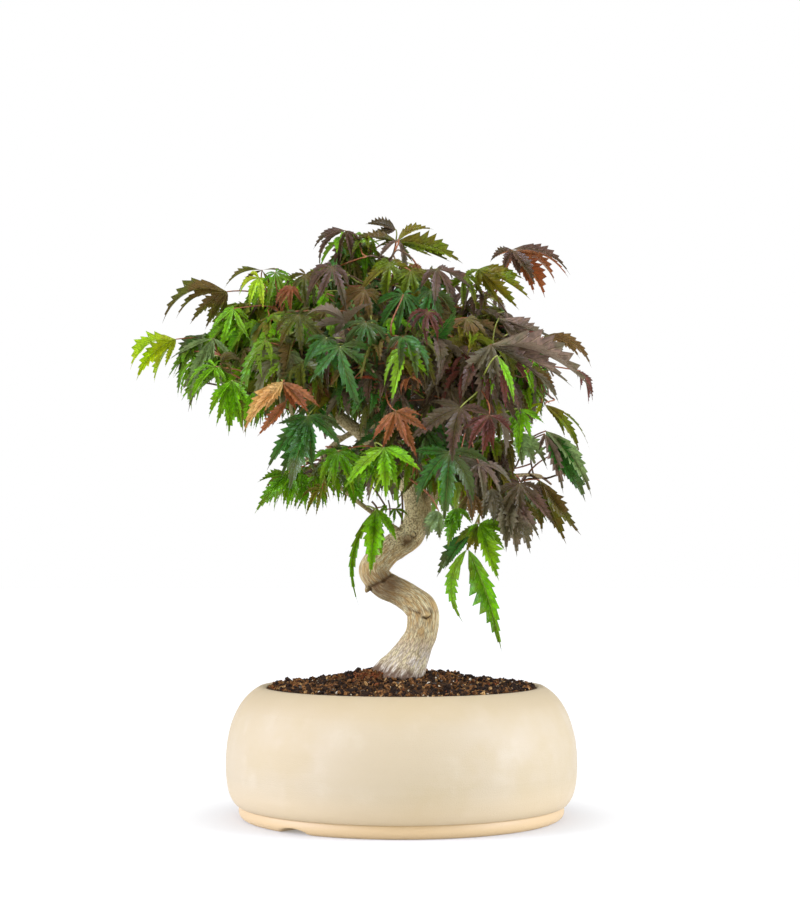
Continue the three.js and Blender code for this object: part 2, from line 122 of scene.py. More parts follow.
class Heap:
    """Gathers many small meshes of one kind, which are then joined into one piece."""

    def __init__(self, corners=4):
        self.corners = corners
        self.points, self.faces, self.extras, self.count = [], [], [], 0

    def add(self, points, faces, extra=None):
        """Adds a mesh, and what else its points hold: a leaf's plan, or the grain and marks of bark."""
        self.points.append(points.reshape(-1, 3))
        self.faces.append(faces + self.count)
        self.count += len(self.points[-1])
        if extra is not None:
            self.extras.append(extra.reshape(len(self.points[-1]), -1))

    def build(self, name, material, slot, stands_for=(), smooth=True):
        points, faces = np.concatenate(self.points), np.concatenate(self.faces)
        mesh = bpy.data.meshes.new(name)
        mesh.vertices.add(len(points))
        mesh.vertices.foreach_set("co", points.astype(np.float32).ravel())
        mesh.loops.add(faces.size)
        mesh.loops.foreach_set("vertex_index", faces.astype(np.int32).ravel())
        mesh.polygons.add(len(faces))
        mesh.polygons.foreach_set("loop_start", np.arange(0, faces.size, self.corners, dtype=np.int32))
        mesh.polygons.foreach_set("use_smooth", np.full(len(faces), smooth))
        extras = np.concatenate(self.extras).astype(np.float32) if self.extras else np.zeros((0, 0))
        if extras.shape[1] == 2:
            for layer in ("leaf_plan", "OFBake"):
                mesh.uv_layers.new(name=layer).uv.foreach_set("vector", extras[faces.ravel()].ravel())
        elif extras.shape[1] == 6:
            for layer, values in (("grain", extras[:, :3]), ("marks", extras[:, 3:])):
                mesh.attributes.new(layer, "FLOAT_VECTOR", "POINT").data.foreach_set("vector", values.ravel())
        mesh.update(calc_edges=True)
        mesh.validate()
        mesh.materials.append(material)
        piece = bpy.data.objects.new(name, mesh)
        bpy.context.scene.collection.objects.link(piece)
        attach(piece, "root")
        if stands_for:
            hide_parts(*stands_for)


def grid_faces(rows, columns, closed=True):
    """The quads of a grid of points, whose rows are loops if closed."""
    row = np.arange(rows - 1)[:, None] * columns
    column = np.arange(columns if closed else columns - 1)[None, :]
    after = (column + 1) % columns
    corners = [row + column, row + after, row + columns + after, row + columns + column]
    return np.stack(corners, axis=-1).reshape(-1, 4)


def turned(profile, sides):
    """Points and quads of a profile of (radius, height) turned round the pot's axis."""
    turn = np.linspace(0, WHOLE_TURN, sides, endpoint=False)
    radius, height = profile[:, 0][:, None], profile[:, 1][:, None]
    points = np.stack([radius * np.cos(turn), radius * np.sin(turn), height + 0 * turn], axis=-1)
    return points, grid_faces(len(profile), sides)


def bezier(controls, count):
    share = np.linspace(0, 1, count)[:, None]
    a, b, c, d = (np.asarray(p, float) for p in controls)
    return (a * (1 - share) ** 3 + 3 * b * share * (1 - share) ** 2
            + 3 * c * share**2 * (1 - share) + d * share**3)


def run_along(path):
    """How far along the path each of its points lies."""
    return np.concatenate([[0], np.cumsum(np.linalg.norm(np.diff(path[:, :3], axis=0), axis=1))])


def spaced(path, count):
    """The same path with its points at even distances."""
    run = run_along(path)
    even = np.linspace(0, run[-1], count)
    return np.stack([np.interp(even, run, column) for column in path.T], axis=1)


def through(stations, count):
    """A smooth path through the stations, with what else they hold eased between them."""
    held = np.vstack([2 * stations[0] - stations[1], stations, 2 * stations[-1] - stations[-2]])
    gap = np.sqrt(np.linalg.norm(np.diff(held[:, :3], axis=0), axis=1))
    pieces = []
    share = np.linspace(0, 1, 40, endpoint=False)[:, None]
    cube, square = share**3, share**2
    for k in range(1, len(held) - 2):
        before, near, far, after = held[k - 1:k + 3]
        g0, g1, g2 = gap[k - 1:k + 2]
        leave = g1 * ((near - before) / g0 - (far - before) / (g0 + g1) + (far - near) / g1)
        arrive = g1 * ((far - near) / g1 - (after - near) / (g1 + g2) + (after - far) / g2)
        pieces.append((2 * cube - 3 * square + 1) * near + (cube - 2 * square + share) * leave
                      + (3 * square - 2 * cube) * far + (cube - square) * arrive)
    return spaced(np.vstack([*pieces, stations[-1:]]), count)


def ways_out(path, sides):
    """Directions out of a round bar at each corner of each ring, twisted as little as can be."""
    tangents = unit(np.gradient(path, axis=0))
    across = np.zeros_like(path)
    across[0] = unit(np.cross(tangents[0], (0.3, 1, 0.2)))
    for k in range(1, len(path)):
        across[k] = unit(across[k - 1] - tangents[k] * (across[k - 1] @ tangents[k]))
    turn = np.linspace(0, WHOLE_TURN, sides, endpoint=False)[:, None]
    out = across[:, None] * np.cos(turn) + np.cross(tangents, across)[:, None] * np.sin(turn)
    return tangents, turn[:, 0], out


def capped(rings, ends):
    """The rings with one more at each end, drawn in to close the bar."""
    first, last = (np.broadcast_to(end, rings[:1].shape) for end in ends)
    points = np.concatenate([first, rings, last])
    return points, grid_faces(len(points), rings.shape[1])


def tube(path, radii, sides):
    """Points and quads of a round bar along a path, drawn in to a point at both ends."""
    _, _, out = ways_out(path, sides)
    return capped(path[:, None] + out * radii[:, None, None],
                  [path[k] + out[k] * radii[k] * 0.02 for k in (0, -1)])


# ------------------------------------------------------------------ finishes


def paint(red, green, blue):
    """A colour given as screen values from 0 to 255, as the linear values that shaders take."""
    channels = [v / 255 for v in (red, green, blue)]
    return (*(v / 12.92 if v <= 0.04045 else ((v + 0.055) / 1.055) ** 2.4 for v in channels), 1)


def grey(value):
    return (value, value, value, 1)


def put(tree, kind, inputs=None, **settings):
    """Adds a node. An input is given a value, or the socket that feeds it."""
    node = tree.nodes.new("ShaderNode" + kind)
    for name, value in settings.items():
        setattr(node, name, value)
    for name, value in (inputs or {}).items():
        if isinstance(value, bpy.types.NodeSocket):
            tree.links.new(value, node.inputs[name])
        else:
            node.inputs[name].default_value = value
    return node


def math_node(tree, operation, first, second=0.0):
    return put(tree, "Math", {0: first, 1: second}, operation=operation).outputs[0]


def times(tree, first, second):
    return math_node(tree, "MULTIPLY", first, second)


def ramp(tree, value, low, high, start=0.0, end=1.0):
    """A value carried smoothly from start to end while it goes from low to high."""
    inputs = {"Value": value, "From Min": low, "From Max": high, "To Min": start, "To Max": end}
    return put(tree, "MapRange", inputs, interpolation_type="SMOOTHSTEP").outputs["Result"]


def blend(tree, share, first, second):
    return put(tree, "Mix", {0: share, 6: first, 7: second}, data_type="RGBA").outputs[2]


def layered(tree, colour, *layers):
    """A colour with others laid over it, each by its mask and the most that it may cover."""
    for mask, over, most in layers:
        colour = blend(tree, mask if most == 1 else times(tree, mask, most), colour, over)
    return colour


def place_on_piece(tree):
    return put(tree, "TexCoord").outputs["Object"]


def new_group(name, takes, gives):
    """A group of nodes. An input that starts as None is a vector, and any other is a number."""
    group = bpy.data.node_groups.new(name, "ShaderNodeTree")
    for label, value in takes.items():
        kind = "Vector" if value is None else "Float"
        socket = group.interface.new_socket(label, in_out="INPUT", socket_type="NodeSocket" + kind)
        if value is not None:
            socket.default_value = value
    for label in gives:
        group.interface.new_socket(label, in_out="OUTPUT", socket_type="NodeSocketFloat")
    return group, group.nodes.new("NodeGroupInput").outputs


def close_group(group, **results):
    end = group.nodes.new("NodeGroupOutput")
    for label, socket in results.items():
        group.links.new(socket, end.inputs[label])
    return group


def make_cloud_group():
    """Soft patches: how far each place lies in one, from 0 to 1."""
    group, given = new_group("cloud", {"Vector": None, "Scale": 20.0, "Detail": 3.0, "From": 0.4,
                                       "To": 0.65}, ["Patch"])
    lumps = put(group, "TexNoise", {name: given[name] for name in ("Vector", "Scale", "Detail")})
    return close_group(group, Patch=ramp(group, lumps.outputs["Fac"], given["From"], given["To"]))


def make_net_group():
    """A net of fine furrows: 1 in a furrow and 0 between them."""
    group, given = new_group("net", {"Vector": None, "Scale": 400.0, "Width": 0.12}, ["Furrow"])
    shake = put(group, "TexNoise", {"Vector": given["Vector"], "Scale": given["Scale"]})
    moved = put(group, "VectorMath", {0: shake.outputs["Color"], 1: (1.2 * MM, 1.2 * MM, 1.2 * MM)},
                operation="MULTIPLY")
    place = put(group, "VectorMath", {0: given["Vector"], 1: moved.outputs[0]}, operation="ADD")
    cells = put(group, "TexVoronoi", {"Vector": place.outputs[0], "Scale": given["Scale"]},
                feature="DISTANCE_TO_EDGE")
    return close_group(group, Furrow=ramp(group, cells.outputs["Distance"], 0.0, given["Width"], 1.0, 0.0))


LOBES = 7  # strips in a leaf's plan, one for each lobe that a leaf may have


def make_vein_group():
    """The pattern of a leaf's blade, read from its plan: one strip of the plan for each lobe."""
    group, given = new_group("veins", {"Plan": None},
                             ["Rib", "Vein", "Edge", "Tip", "Heart", "Mottle"])
    plan = put(group, "SeparateXYZ", {"Vector": given["Plan"]})
    along = plan.outputs["Y"]
    strip = math_node(group, "FRACT", times(group, plan.outputs["X"], LOBES))
    across = times(group, math_node(group, "ABSOLUTE", math_node(group, "SUBTRACT", strip, 0.5)), 2)
    slant = math_node(group, "SUBTRACT", times(group, along, 11.0), times(group, across, 1.5))
    wave = math_node(group, "SUBTRACT", math_node(group, "FRACT", slant), 0.5)
    wave = ramp(group, math_node(group, "ABSOLUTE", wave), 0.36, 0.48)
    lumps = put(group, "TexNoise", {"Vector": given["Plan"], "Scale": 26.0, "Detail": 3.0})
    return close_group(group, Rib=ramp(group, across, 0.03, 0.13, 1.0, 0.0),
                       Vein=times(group, wave, ramp(group, across, 0.55, 1.0, 1.0, 0.0)),
                       Edge=ramp(group, across, 0.7, 1.0), Tip=ramp(group, along, 0.55, 0.98),
                       Heart=ramp(group, along, 0.0, 0.16, 1.0, 0.0), Mottle=lumps.outputs["Fac"])


CLOUD, NET, VEINS = make_cloud_group(), make_net_group(), make_vein_group()


def cloud(tree, place, scale, detail, low, high):
    """Soft patches at a place, which run from 0 to 1 while the lumps go from low to high."""
    inputs = {"Vector": place, "Scale": scale, "Detail": detail, "From": low, "To": high}
    return put(tree, "Group", inputs, node_tree=CLOUD).outputs["Patch"]


def net(tree, place, scale, width):
    inputs = {"Vector": place, "Scale": scale, "Width": width}
    return put(tree, "Group", inputs, node_tree=NET).outputs["Furrow"]


def new_finish(name, specular=0.5):
    finish = bpy.data.materials.new(name)
    finish.use_nodes = True
    shader = finish.node_tree.nodes["Principled BSDF"]
    shader.inputs["Specular IOR Level"].default_value = specular
    return finish, finish.node_tree, shader


def feed(tree, shader, colour, roughness, height, depth, strength=0.6):
    tree.links.new(colour, shader.inputs["Base Color"])
    tree.links.new(roughness, shader.inputs["Roughness"])
    bump = put(tree, "Bump", {"Height": height, "Distance": depth, "Strength": strength})
    tree.links.new(bump.outputs["Normal"], shader.inputs["Normal"])


THROUGH_LEAF = 0.3  # share of the light that a leaf passes on


def leaf_finish(name, blade, under, tip, rib, gloss, tip_share):
    """A leaf's glossy blade with paler ribs, a tinted tip and a duller underside."""
    finish, tree, shader = new_finish(name, 0.36)
    plan = put(tree, "UVMap", uv_map="leaf_plan").outputs["UV"]
    veins = put(tree, "Group", {"Plan": plan}, node_tree=VEINS).outputs
    place = place_on_piece(tree)
    broad = cloud(tree, place, 38.0, 2.0, 0.46, 0.6)
    small = cloud(tree, place, 150.0, 3.0, 0.4, 0.62)
    specks = cloud(tree, place, 420.0, 3.0, 0.42, 0.6)
    shade = (*(v * 0.42 for v in blade[:3]), 1)
    fresh = (*(min(1, v * 1.4) for v in blade[:3]), 1)
    mottle = ramp(tree, veins["Mottle"], 0.4, 0.7, 0.0, 0.8)
    turning = math_node(tree, "MAXIMUM", veins["Tip"], times(tree, broad, 0.9))
    back = put(tree, "NewGeometry").outputs["Backfacing"]
    colour = layered(tree, blade, (mottle, shade, 1), (small, fresh, 0.7), (specks, shade, 0.45),
                     (turning, tip, tip_share), (veins["Edge"], shade, 0.4), (veins["Vein"], rib, 0.2),
                     (veins["Rib"], rib, 0.4), (veins["Heart"], rib, 0.3), (back, under, 0.7))
    roughness = ramp(tree, specks, 0.0, 1.0, gloss - 0.08, gloss + 0.14)
    sunk = math_node(tree, "ADD", veins["Rib"], times(tree, veins["Vein"], 0.6))
    feed(tree, shader, colour, roughness, math_node(tree, "SUBTRACT", veins["Mottle"], sunk), 1 * MM, 0.9)
    lit_through = put(tree, "BsdfTranslucent", {"Color": colour})
    mix = put(tree, "MixShader", {"Fac": THROUGH_LEAF, 1: shader.outputs["BSDF"],
                                  2: lit_through.outputs["BSDF"]})
    tree.links.new(mix.outputs["Shader"], tree.nodes["Material Output"].inputs["Surface"])
    return finish


LOW_BAND_TOP, PAINTED_SHADE_BAND = 34 * MM, (66 * MM, 82 * MM)  # where the pot's clay is paler, and where a painted shade darkens it under the rim


def ceramic_finish():
    """Pale unglazed clay, faintly stained, with a tanner band at the foot, turning marks and a painted shade
    on the shoulder under the rim.
    """
    finish, tree, shader = new_finish("pale_ceramic")
    place = place_on_piece(tree)
    height = put(tree, "SeparateXYZ", {"Vector": place}).outputs["Z"]
    stains = cloud(tree, place, 16.0, 5.0, 0.46, 0.7)
    patches = cloud(tree, place, 45.0, 5.0, 0.5, 0.8)
    grain = cloud(tree, place, 1500.0, 2.0, 0.35, 0.75)
    rings = put(tree, "VectorMath", {0: place, 1: (4, 4, 420)}, operation="MULTIPLY").outputs[0]
    turning = cloud(tree, rings, 1.0, 2.0, 0.3, 0.7)
    seam, stain = POT["seam_height"], paint(179, 160, 120)
    low = ramp(tree, height, seam, LOW_BAND_TOP, 0.6, 0.0)
    # A painted shade on the shoulder under the rim.
    high = ramp(tree, height, *PAINTED_SHADE_BAND, 0.0, 0.6)
    foot = ramp(tree, height, seam - 0.6 * MM, seam, 0.75, 0.0)
    colour = layered(tree, paint(184, 169, 140), (stains, stain, 0.5), (patches, paint(199, 188, 165), 0.4),
                     (turning, stain, 0.04), (low, paint(206, 184, 146), 1), (high, paint(182, 162, 124), 1),
                     (foot, paint(200, 170, 122), 1), (grain, paint(190, 168, 130), 0.12))
    relief = math_node(tree, "ADD", grain, times(tree, turning, 0.5))
    feed(tree, shader, colour, ramp(tree, stains, 0.0, 1.0, 0.52, 0.64), relief, 0.12 * MM, 0.5)
    return finish


def crumb_finish(name, pale, dark, scale):
    """Soil, bark crumbs and grit: two colours in patches, dull and pitted."""
    finish, tree, shader = new_finish(name, 0.15)
    place = place_on_piece(tree)
    patch = cloud(tree, place, scale, 4.0, 0.38, 0.66)
    pits = cloud(tree, place, scale * 5, 3.0, 0.3, 0.7)
    colour = blend(tree, patch, dark, pale)
    feed(tree, shader, colour, ramp(tree, pits, 0.0, 1.0, 0.73, 0.85), pits, 0.4 * MM, 0.7)
    return finish


# Heights between which the bark changes on its way up the trunk, and from which a painted sunlight brightens
# its left side.
DARKER_FOOT_ENDS = (99 * MM, 108 * MM)
SILVER_ENDS = (108 * MM, 128 * MM)
FRECKLES_START = (168 * MM, 196 * MM)
PAINTED_SUNLIGHT_STARTS = (176 * MM, 196 * MM)
CREAM_STARTS = (190 * MM, 210 * MM)


def bark_finish():
    """Pale bark with a net of fine furrows, silvery over the roots and freckled under the fork, with painted
    shade in its creases and bend and painted sunlight on its left side below the fork.
    """
    finish, tree, shader = new_finish("pale_bark", 0.25)
    grain = put(tree, "Attribute", attribute_name="grain").outputs["Vector"]
    marks = put(tree, "Attribute", attribute_name="marks").outputs["Vector"]
    marks = put(tree, "SeparateXYZ", {"Vector": marks}).outputs
    place = place_on_piece(tree)
    axes = put(tree, "SeparateXYZ", {"Vector": place}).outputs
    across, height = axes["X"], axes["Z"]
    furrow, fine = net(tree, grain, 950.0, 0.2), net(tree, grain, 2200.0, 0.22)
    streak = cloud(tree, grain, 700.0, 4.0, 0.38, 0.62)
    broad = cloud(tree, place, 60.0, 3.0, 0.4, 0.62)
    speck = cloud(tree, place, 800.0, 4.0, 0.47, 0.56)
    blotch = cloud(tree, place, 170.0, 5.0, 0.4, 0.6)
    silver = times(tree, ramp(tree, height, *SILVER_ENDS, 0.8, 0.0), streak)
    above = ramp(tree, height, *FRECKLES_START)
    freckles = times(tree, above, times(tree, speck, ramp(tree, blotch, 0.0, 1.0, 0.3, 0.85)))
    mottled = times(tree, above, times(tree, blotch, 0.3))
    # Painted sunlight: higher up, the trunk's left side is painted paler, as if lit.
    painted_sunlight = times(tree, ramp(tree, height, *PAINTED_SUNLIGHT_STARTS, 0.0, 0.8),
                  ramp(tree, across, 4 * MM, 18 * MM, 1.0, 0.15))
    clear = math_node(tree, "SUBTRACT", 1.0, times(tree, speck, 0.85))
    tilted = math_node(tree, "ADD", height, times(tree, across, 0.22))
    tilted = math_node(tree, "ADD", tilted, times(tree, streak, 6 * MM))
    colour = blend(tree, streak, paint(250, 238, 186), paint(218, 182, 116))
    colour = layered(tree, colour, (broad, paint(200, 168, 122), 0.24), (silver, paint(250, 244, 226), 1),
                     (freckles, paint(118, 88, 38), 1), (mottled, paint(134, 108, 62), 1),
                     (ramp(tree, height, *CREAM_STARTS, 0.0, 0.5), paint(246, 222, 156), 1),
                     (furrow, paint(104, 68, 34), 0.56), (fine, paint(136, 98, 56), 0.18),
                     # painted sunlight on the left side, kept off the freckles
                     (times(tree, painted_sunlight, clear), paint(255, 240, 178), 1),
                     # the trunk turns darker brown low down by the soil
                     (ramp(tree, tilted, *DARKER_FOOT_ENDS, 0.95, 0.0), paint(112, 86, 66), 1),
                     # the first mark is painted shadow round the scars and in the creases, the second the
                     # scars' pale middles
                     (marks["X"], paint(62, 40, 22), 1), (marks["Y"], paint(222, 194, 136), 1),
                     # the third mark: painted shade on the trunk, and an even darker brown over all boughs
                     # and shoots
                     (marks["Z"], paint(100, 70, 36), 1))
    sunk = math_node(tree, "ADD", furrow, times(tree, fine, 0.5))
    relief = math_node(tree, "SUBTRACT", streak, sunk)
    feed(tree, shader, colour, ramp(tree, streak, 0.0, 1.0, 0.62, 0.8), relief, 0.5 * MM, 0.9)
    return finish


def twig_finish(name, pale, dark):
    """The skin of a young shoot or leaf stalk, faintly streaked along its length."""
    finish, tree, shader = new_finish(name)
    streak = cloud(tree, place_on_piece(tree), 700.0, 3.0, 0.35, 0.68)
    feed(tree, shader, blend(tree, streak, pale, dark), ramp(tree, streak, 0.0, 1.0, 0.42, 0.6), streak,
         0.2 * MM)
    return finish


# ------------------------------------------------------------------ camera, floor and light

CAMERA_AT = (-1.13 * MM, -1372 * MM, 189.5 * MM)
CAMERA_PITCH, CAMERA_LENS, CAMERA_FILM = 2.32, 78.77, 36
ROOM_COLOUR, ROOM_STRENGTH = (0.99, 0.945, 0.8, 1), 0.49
# Broad soft lights: azimuth (0 shines from the front and 90 from the right), elevation, strength,
# spread and colour.
SUNS = {
    "sun_left": (-74, 20, 3.4, 35, (0.97, 1.04, 1.38)),
    "sun_right": (76, 20, 3.5, 45, (0.95, 1.04, 1.36)),
    "sun_above": (-25, 76, 1.0, 60, (1, 1, 0.96)),
    "sun_low": (8, 10, 0.42, 50, (1, 0.95, 0.7)),
}
FLOOR_REACH = 6.0
SHADOW_FADES = (112 * MM, 155 * MM)  # away from the pot the floor glows, so that shadows fade out there


def set_up_camera():
    camera = bpy.data.objects.new("camera", bpy.data.cameras.new("camera"))
    camera.data.lens = CAMERA_LENS
    camera.data.sensor_width = CAMERA_FILM
    camera.location = CAMERA_AT
    camera.rotation_euler = (math.radians(90 + CAMERA_PITCH), 0, 0)
    bpy.context.scene.collection.objects.link(camera)
    bpy.context.scene.camera = camera


def set_up_light():
    bpy.context.scene.view_settings.view_transform = "Standard"
    world = bpy.data.worlds.new("studio")
    world.use_nodes = True
    bpy.context.scene.world = world
    tree = world.node_tree
    lit = tree.nodes["Background"]
    lit.inputs["Color"].default_value = ROOM_COLOUR
    lit.inputs["Strength"].default_value = ROOM_STRENGTH
    seen = put(tree, "Background", {"Color": grey(1)})
    path = put(tree, "LightPath")
    mix = put(tree, "MixShader", {"Fac": path.outputs["Is Camera Ray"], 1: lit.outputs["Background"],
                                  2: seen.outputs["Background"]})
    tree.links.new(mix.outputs["Shader"], tree.nodes["World Output"].inputs["Surface"])
    for name, (azimuth, elevation, strength, spread, colour) in SUNS.items():
        sun = bpy.data.objects.new(name, bpy.data.lights.new(name, "SUN"))
        sun.data.energy = strength
        sun.data.color = colour
        sun.data.angle = math.radians(spread)
        sun.rotation_euler = (math.radians(90 - elevation), 0, math.radians(azimuth))
        bpy.context.scene.collection.objects.link(sun)


def add_floor():
    mesh = bpy.data.meshes.new("floor")
    corners = [(x * FLOOR_REACH, y * FLOOR_REACH, 0) for x, y in ((-1, -1), (1, -1), (1, 1), (-1, 1))]
    mesh.from_pydata(corners, [], [(0, 1, 2, 3)])
    floor = bpy.data.objects.new("floor", mesh)
    bpy.context.scene.collection.objects.link(floor)
    finish, tree, shader = new_finish("floor_paint")
    flat = put(tree, "VectorMath", {0: place_on_piece(tree)}, operation="LENGTH").outputs["Value"]
    away = ramp(tree, flat, *SHADOW_FADES)
    for label, near, far in (("Base Color", 0.52, 0.2), ("Emission Color", 0.24, 0.76)):
        tree.links.new(blend(tree, away, grey(near), grey(far)), shader.inputs[label])
    shader.inputs["Emission Strength"].default_value = 1.0
    shader.inputs["Roughness"].default_value = 0.9
    mesh.materials.append(finish)


# ------------------------------------------------------------------ pot


def pot_side(inset, count):
    """The pot's side from the seam to the lip, moved inwards by the given thickness."""
    seam, bulge, lip = (POT[k] - inset for k in ("seam_radius", "bulge_radius", "lip_radius"))
    low, middle, top = POT["seam_height"], POT["bulge_height"], POT["height"]
    lower = bezier([(seam, low), (bulge - 2.4 * MM, low + 3.7 * MM), (bulge, middle - 14 * MM),
                    (bulge, middle)], count)
    end = (POT["lip_radius"] - min(inset, POT["lip_wall"]), top - (POT["lip_roll"] if inset else 0))
    upper = bezier([(bulge, middle), (bulge, middle + 24 * MM), (lip + 15 * MM, top - 8 * MM), end], count)
    return np.concatenate([lower, upper[1:]])


def inner_side(inset, count, top):
    """The inside of the wall from below a height down to the floor, and the floor to the axis."""
    side = pot_side(inset, count)[::-1]
    side = side[(side[:, 1] > POT["floor"] + 8 * MM) & (side[:, 1] < top)]
    level = POT["floor"] + inset - POT["wall"]
    return np.concatenate([side, [(side[-1, 0] - 9 * MM, level), (AXIS_GAP, level)]])


def make_pot():
    roll, top, lip, edge = POT["lip_roll"], POT["height"], POT["lip_radius"], POT["foot_edge"]
    foot_radius, seam = POT["foot_radius"], POT["seam_height"]
    foot_turn = np.linspace(-np.pi / 2, 0, 8)
    foot = np.stack([foot_radius - edge + edge * np.cos(foot_turn), edge + edge * np.sin(foot_turn)], axis=1)
    band_top = [(foot_radius + out * MM, seam - below * MM)
                for out, below in ((0, 1.2), (-0.5, 0.5), (0.2, 0.1))]
    lip_turn = np.linspace(np.pi / 2, np.pi, 6)[1:]
    crest = np.stack([lip - roll * 0.9 + roll * 0.9 * np.cos(lip_turn), top - roll + roll * np.sin(lip_turn)],
                     axis=1)
    outline = np.concatenate([[(AXIS_GAP, 0), (60 * MM, 0)], foot, band_top, pot_side(0, 26), crest,
                              inner_side(POT["wall"], 14, top - roll - 1 * MM)])
    fine = [outline[0]]
    for a, b in zip(outline[:-1], outline[1:]):
        steps = max(1, int(np.ceil(np.linalg.norm(b - a) / (3.5 * MM))))
        fine.extend(a + (b - a) * k / steps for k in range(1, steps + 1))
    points, faces = turned(np.array(fine), 256)
    flat = points.reshape(-1, 3)
    radius = np.hypot(flat[:, 0], flat[:, 1])
    outside = ease(flat[:, 2], 1 * MM, 6 * MM) * ease(radius, 90 * MM, 96 * MM)
    hand = 0.35 * MM * noise(flat, 60 * MM, 3) + 0.12 * MM * noise(flat * (0.2, 0.2, 1), 5 * MM, 4)
    flat += unit(flat * (1, 1, 0)) * (hand * outside)[:, None]
    for turn in np.radians(GROOVE["turns"]):
        run = flat[:, 0] * math.cos(turn) + flat[:, 1] * math.sin(turn)
        aside = flat[:, 1] * math.cos(turn) - flat[:, 0] * math.sin(turn)
        arch = GROOVE["height"] * np.sqrt(np.clip(1 - (aside / (GROOVE["width"] / 2)) ** 2, 0, 1))
        inside = (run > GROOVE["inner_end"]) & (flat[:, 2] < arch)
        flat[:, 2] = np.where(inside, arch, flat[:, 2])
    pot = Heap()
    pot.add(flat, faces)
    pot.build("pot_shell", ceramic_finish(), "pot_ceramic", ["pot"])


# ------------------------------------------------------------------ soil and grit


def soil_height(x, y):
    """How high the soil stands at a place, as in the frame, with its own small lumps."""
    edge = SOIL["radius"]
    peak = np.hypot(x - SOIL["peak"][0], y - SOIL["peak"][1]) / edge
    middle = np.clip(np.hypot(x, y) / edge, 0, 1)
    mound = np.clip(1 - peak**1.3, 0, None) * (1 - middle**4)
    waves = np.sin(x * 120 + 1) * np.cos(y * 120) * (1 - middle**2)
    spots = np.stack([x, y, 0 * x], axis=-1)
    lumps = sum(high * noise(spots, wide * MM, seed) for high, wide, seed in
                ((1.1, 9, 11), (0.8, 3.4, 12), (0.4, 1.4, 13)))
    return (SOIL["edge"] + (SOIL["mound"] - SOIL["edge"]) * mound + SOIL["heaped"] * ease(middle, 0.7, 0.93)
            + (waves + lumps * (1 - 0.4 * middle**6)) * MM)


def make_soil():
    rows = 90
    radii = np.linspace(AXIS_GAP, SOIL["radius"], rows)
    top = np.stack([radii, np.full(rows, SOIL["edge"])], axis=1)
    below = inner_side(POT["wall"] + SOIL["gap"], 10, SOIL["edge"] - 6 * MM)
    points, faces = turned(np.concatenate([top, below]), 240)
    points[:rows, :, 2] = soil_height(points[:rows, :, 0], points[:rows, :, 1])
    soil = Heap()
    soil.add(points, faces[:, ::-1])
    finish = crumb_finish("dark_soil", paint(96, 66, 34), paint(34, 21, 11), 260.0)
    soil.build("soil_bed", finish, "compost", ["soil"])


GRIT = {  # how many crumbs of each kind, their size in millimetres, and their two colours
    "crumb_dark": (1300, (1.6, 5.6), paint(60, 40, 22), paint(24, 15, 9)),
    "crumb_brown": (1500, (1.4, 4.8), paint(150, 102, 54), paint(64, 40, 20)),
    "crumb_rust": (300, (1.2, 3.4), paint(150, 82, 40), paint(92, 48, 24)),
    "crumb_tan": (420, (1.0, 3.2), paint(214, 172, 110), paint(150, 108, 60)),
    "grit_grey": (240, (0.8, 2.8), paint(126, 116, 104), paint(68, 62, 54)),
    "grit_white": (120, (0.8, 2.6), paint(246, 236, 212), paint(200, 180, 144)),
}
ROOT_CLUMP = ((-22 * MM, -26 * MM), 11 * MM, 260)  # rusty crumbs heaped against the foot of the trunk
TRUNK_FOOT = ((-4 * MM, -14 * MM), 15 * MM)  # no crumb lies where the trunk stands


def crumb_shape():
    """A solid of twenty equal triangles."""
    golden = (1 + 5**0.5) / 2
    signs = [(a, b * golden) for a in (-1, 1) for b in (-1, 1)]
    points = unit([(a, b, 0) for a, b in signs] + [(0, a, b) for a, b in signs]
                  + [(b, 0, a) for a, b in signs])
    near = np.linalg.norm(points[:, None] - points[None], axis=2) < 1.1
    faces = []
    for i, j, k in (corners for corners in np.ndindex(12, 12, 12) if sorted(set(corners)) == list(corners)):
        if near[i, j] and near[j, k] and near[i, k]:
            out = np.cross(points[j] - points[i], points[k] - points[i]) @ points[i]
            faces.append((i, j, k) if out > 0 else (i, k, j))
    return points, np.array(faces)


def turned_at_random(rng):
    axes = np.linalg.qr(rng.normal(size=(3, 3)))[0]
    return axes * np.sign(np.linalg.det(axes))


def make_grit():
    rng = np.random.default_rng(7)
    shape, faces = crumb_shape()
    heaps = {name: Heap(3) for name in GRIT}

    def drop(name, x, y, lift=0.0):
        small, large = GRIT[name][1]
        size = (small + (large - small) * rng.random() ** 2.2) * MM / 2
        stretch = size * rng.uniform((0.8, 0.6, 0.45), (1.6, 1.1, 0.8))
        crumb = (shape * rng.uniform(0.75, 1.2, (12, 1)) * stretch) @ turned_at_random(rng)
        if math.dist((x, y), TRUNK_FOOT[0]) > TRUNK_FOOT[1]:
            level = soil_height(np.array([x]), np.array([y]))[0]
            heaps[name].add(crumb + (x, y, level + size * 0.3 + lift), faces)

    for name, (count, *_) in GRIT.items():
        for _ in range(count):
            radius = (SOIL["radius"] - 1.2 * MM) * math.sqrt(rng.random())
            turn = rng.random() * WHOLE_TURN
            drop(name, radius * math.cos(turn), radius * math.sin(turn))
    (x, y), reach, count = ROOT_CLUMP
    for _ in range(count):
        dx, dy = rng.normal(0, reach / 2, 2)
        lift = 4 * MM * max(0.0, 1 - math.hypot(dx, dy) / reach) * rng.random()
        drop("crumb_rust" if rng.random() < 0.5 else "crumb_brown", x + dx, y + dy, lift)
    for name, (_, _, pale, dark) in GRIT.items():
        heaps[name].build(name, crumb_finish(name, pale, dark, 700.0), "compost", smooth=False)


# ------------------------------------------------------------------ trunk and boughs

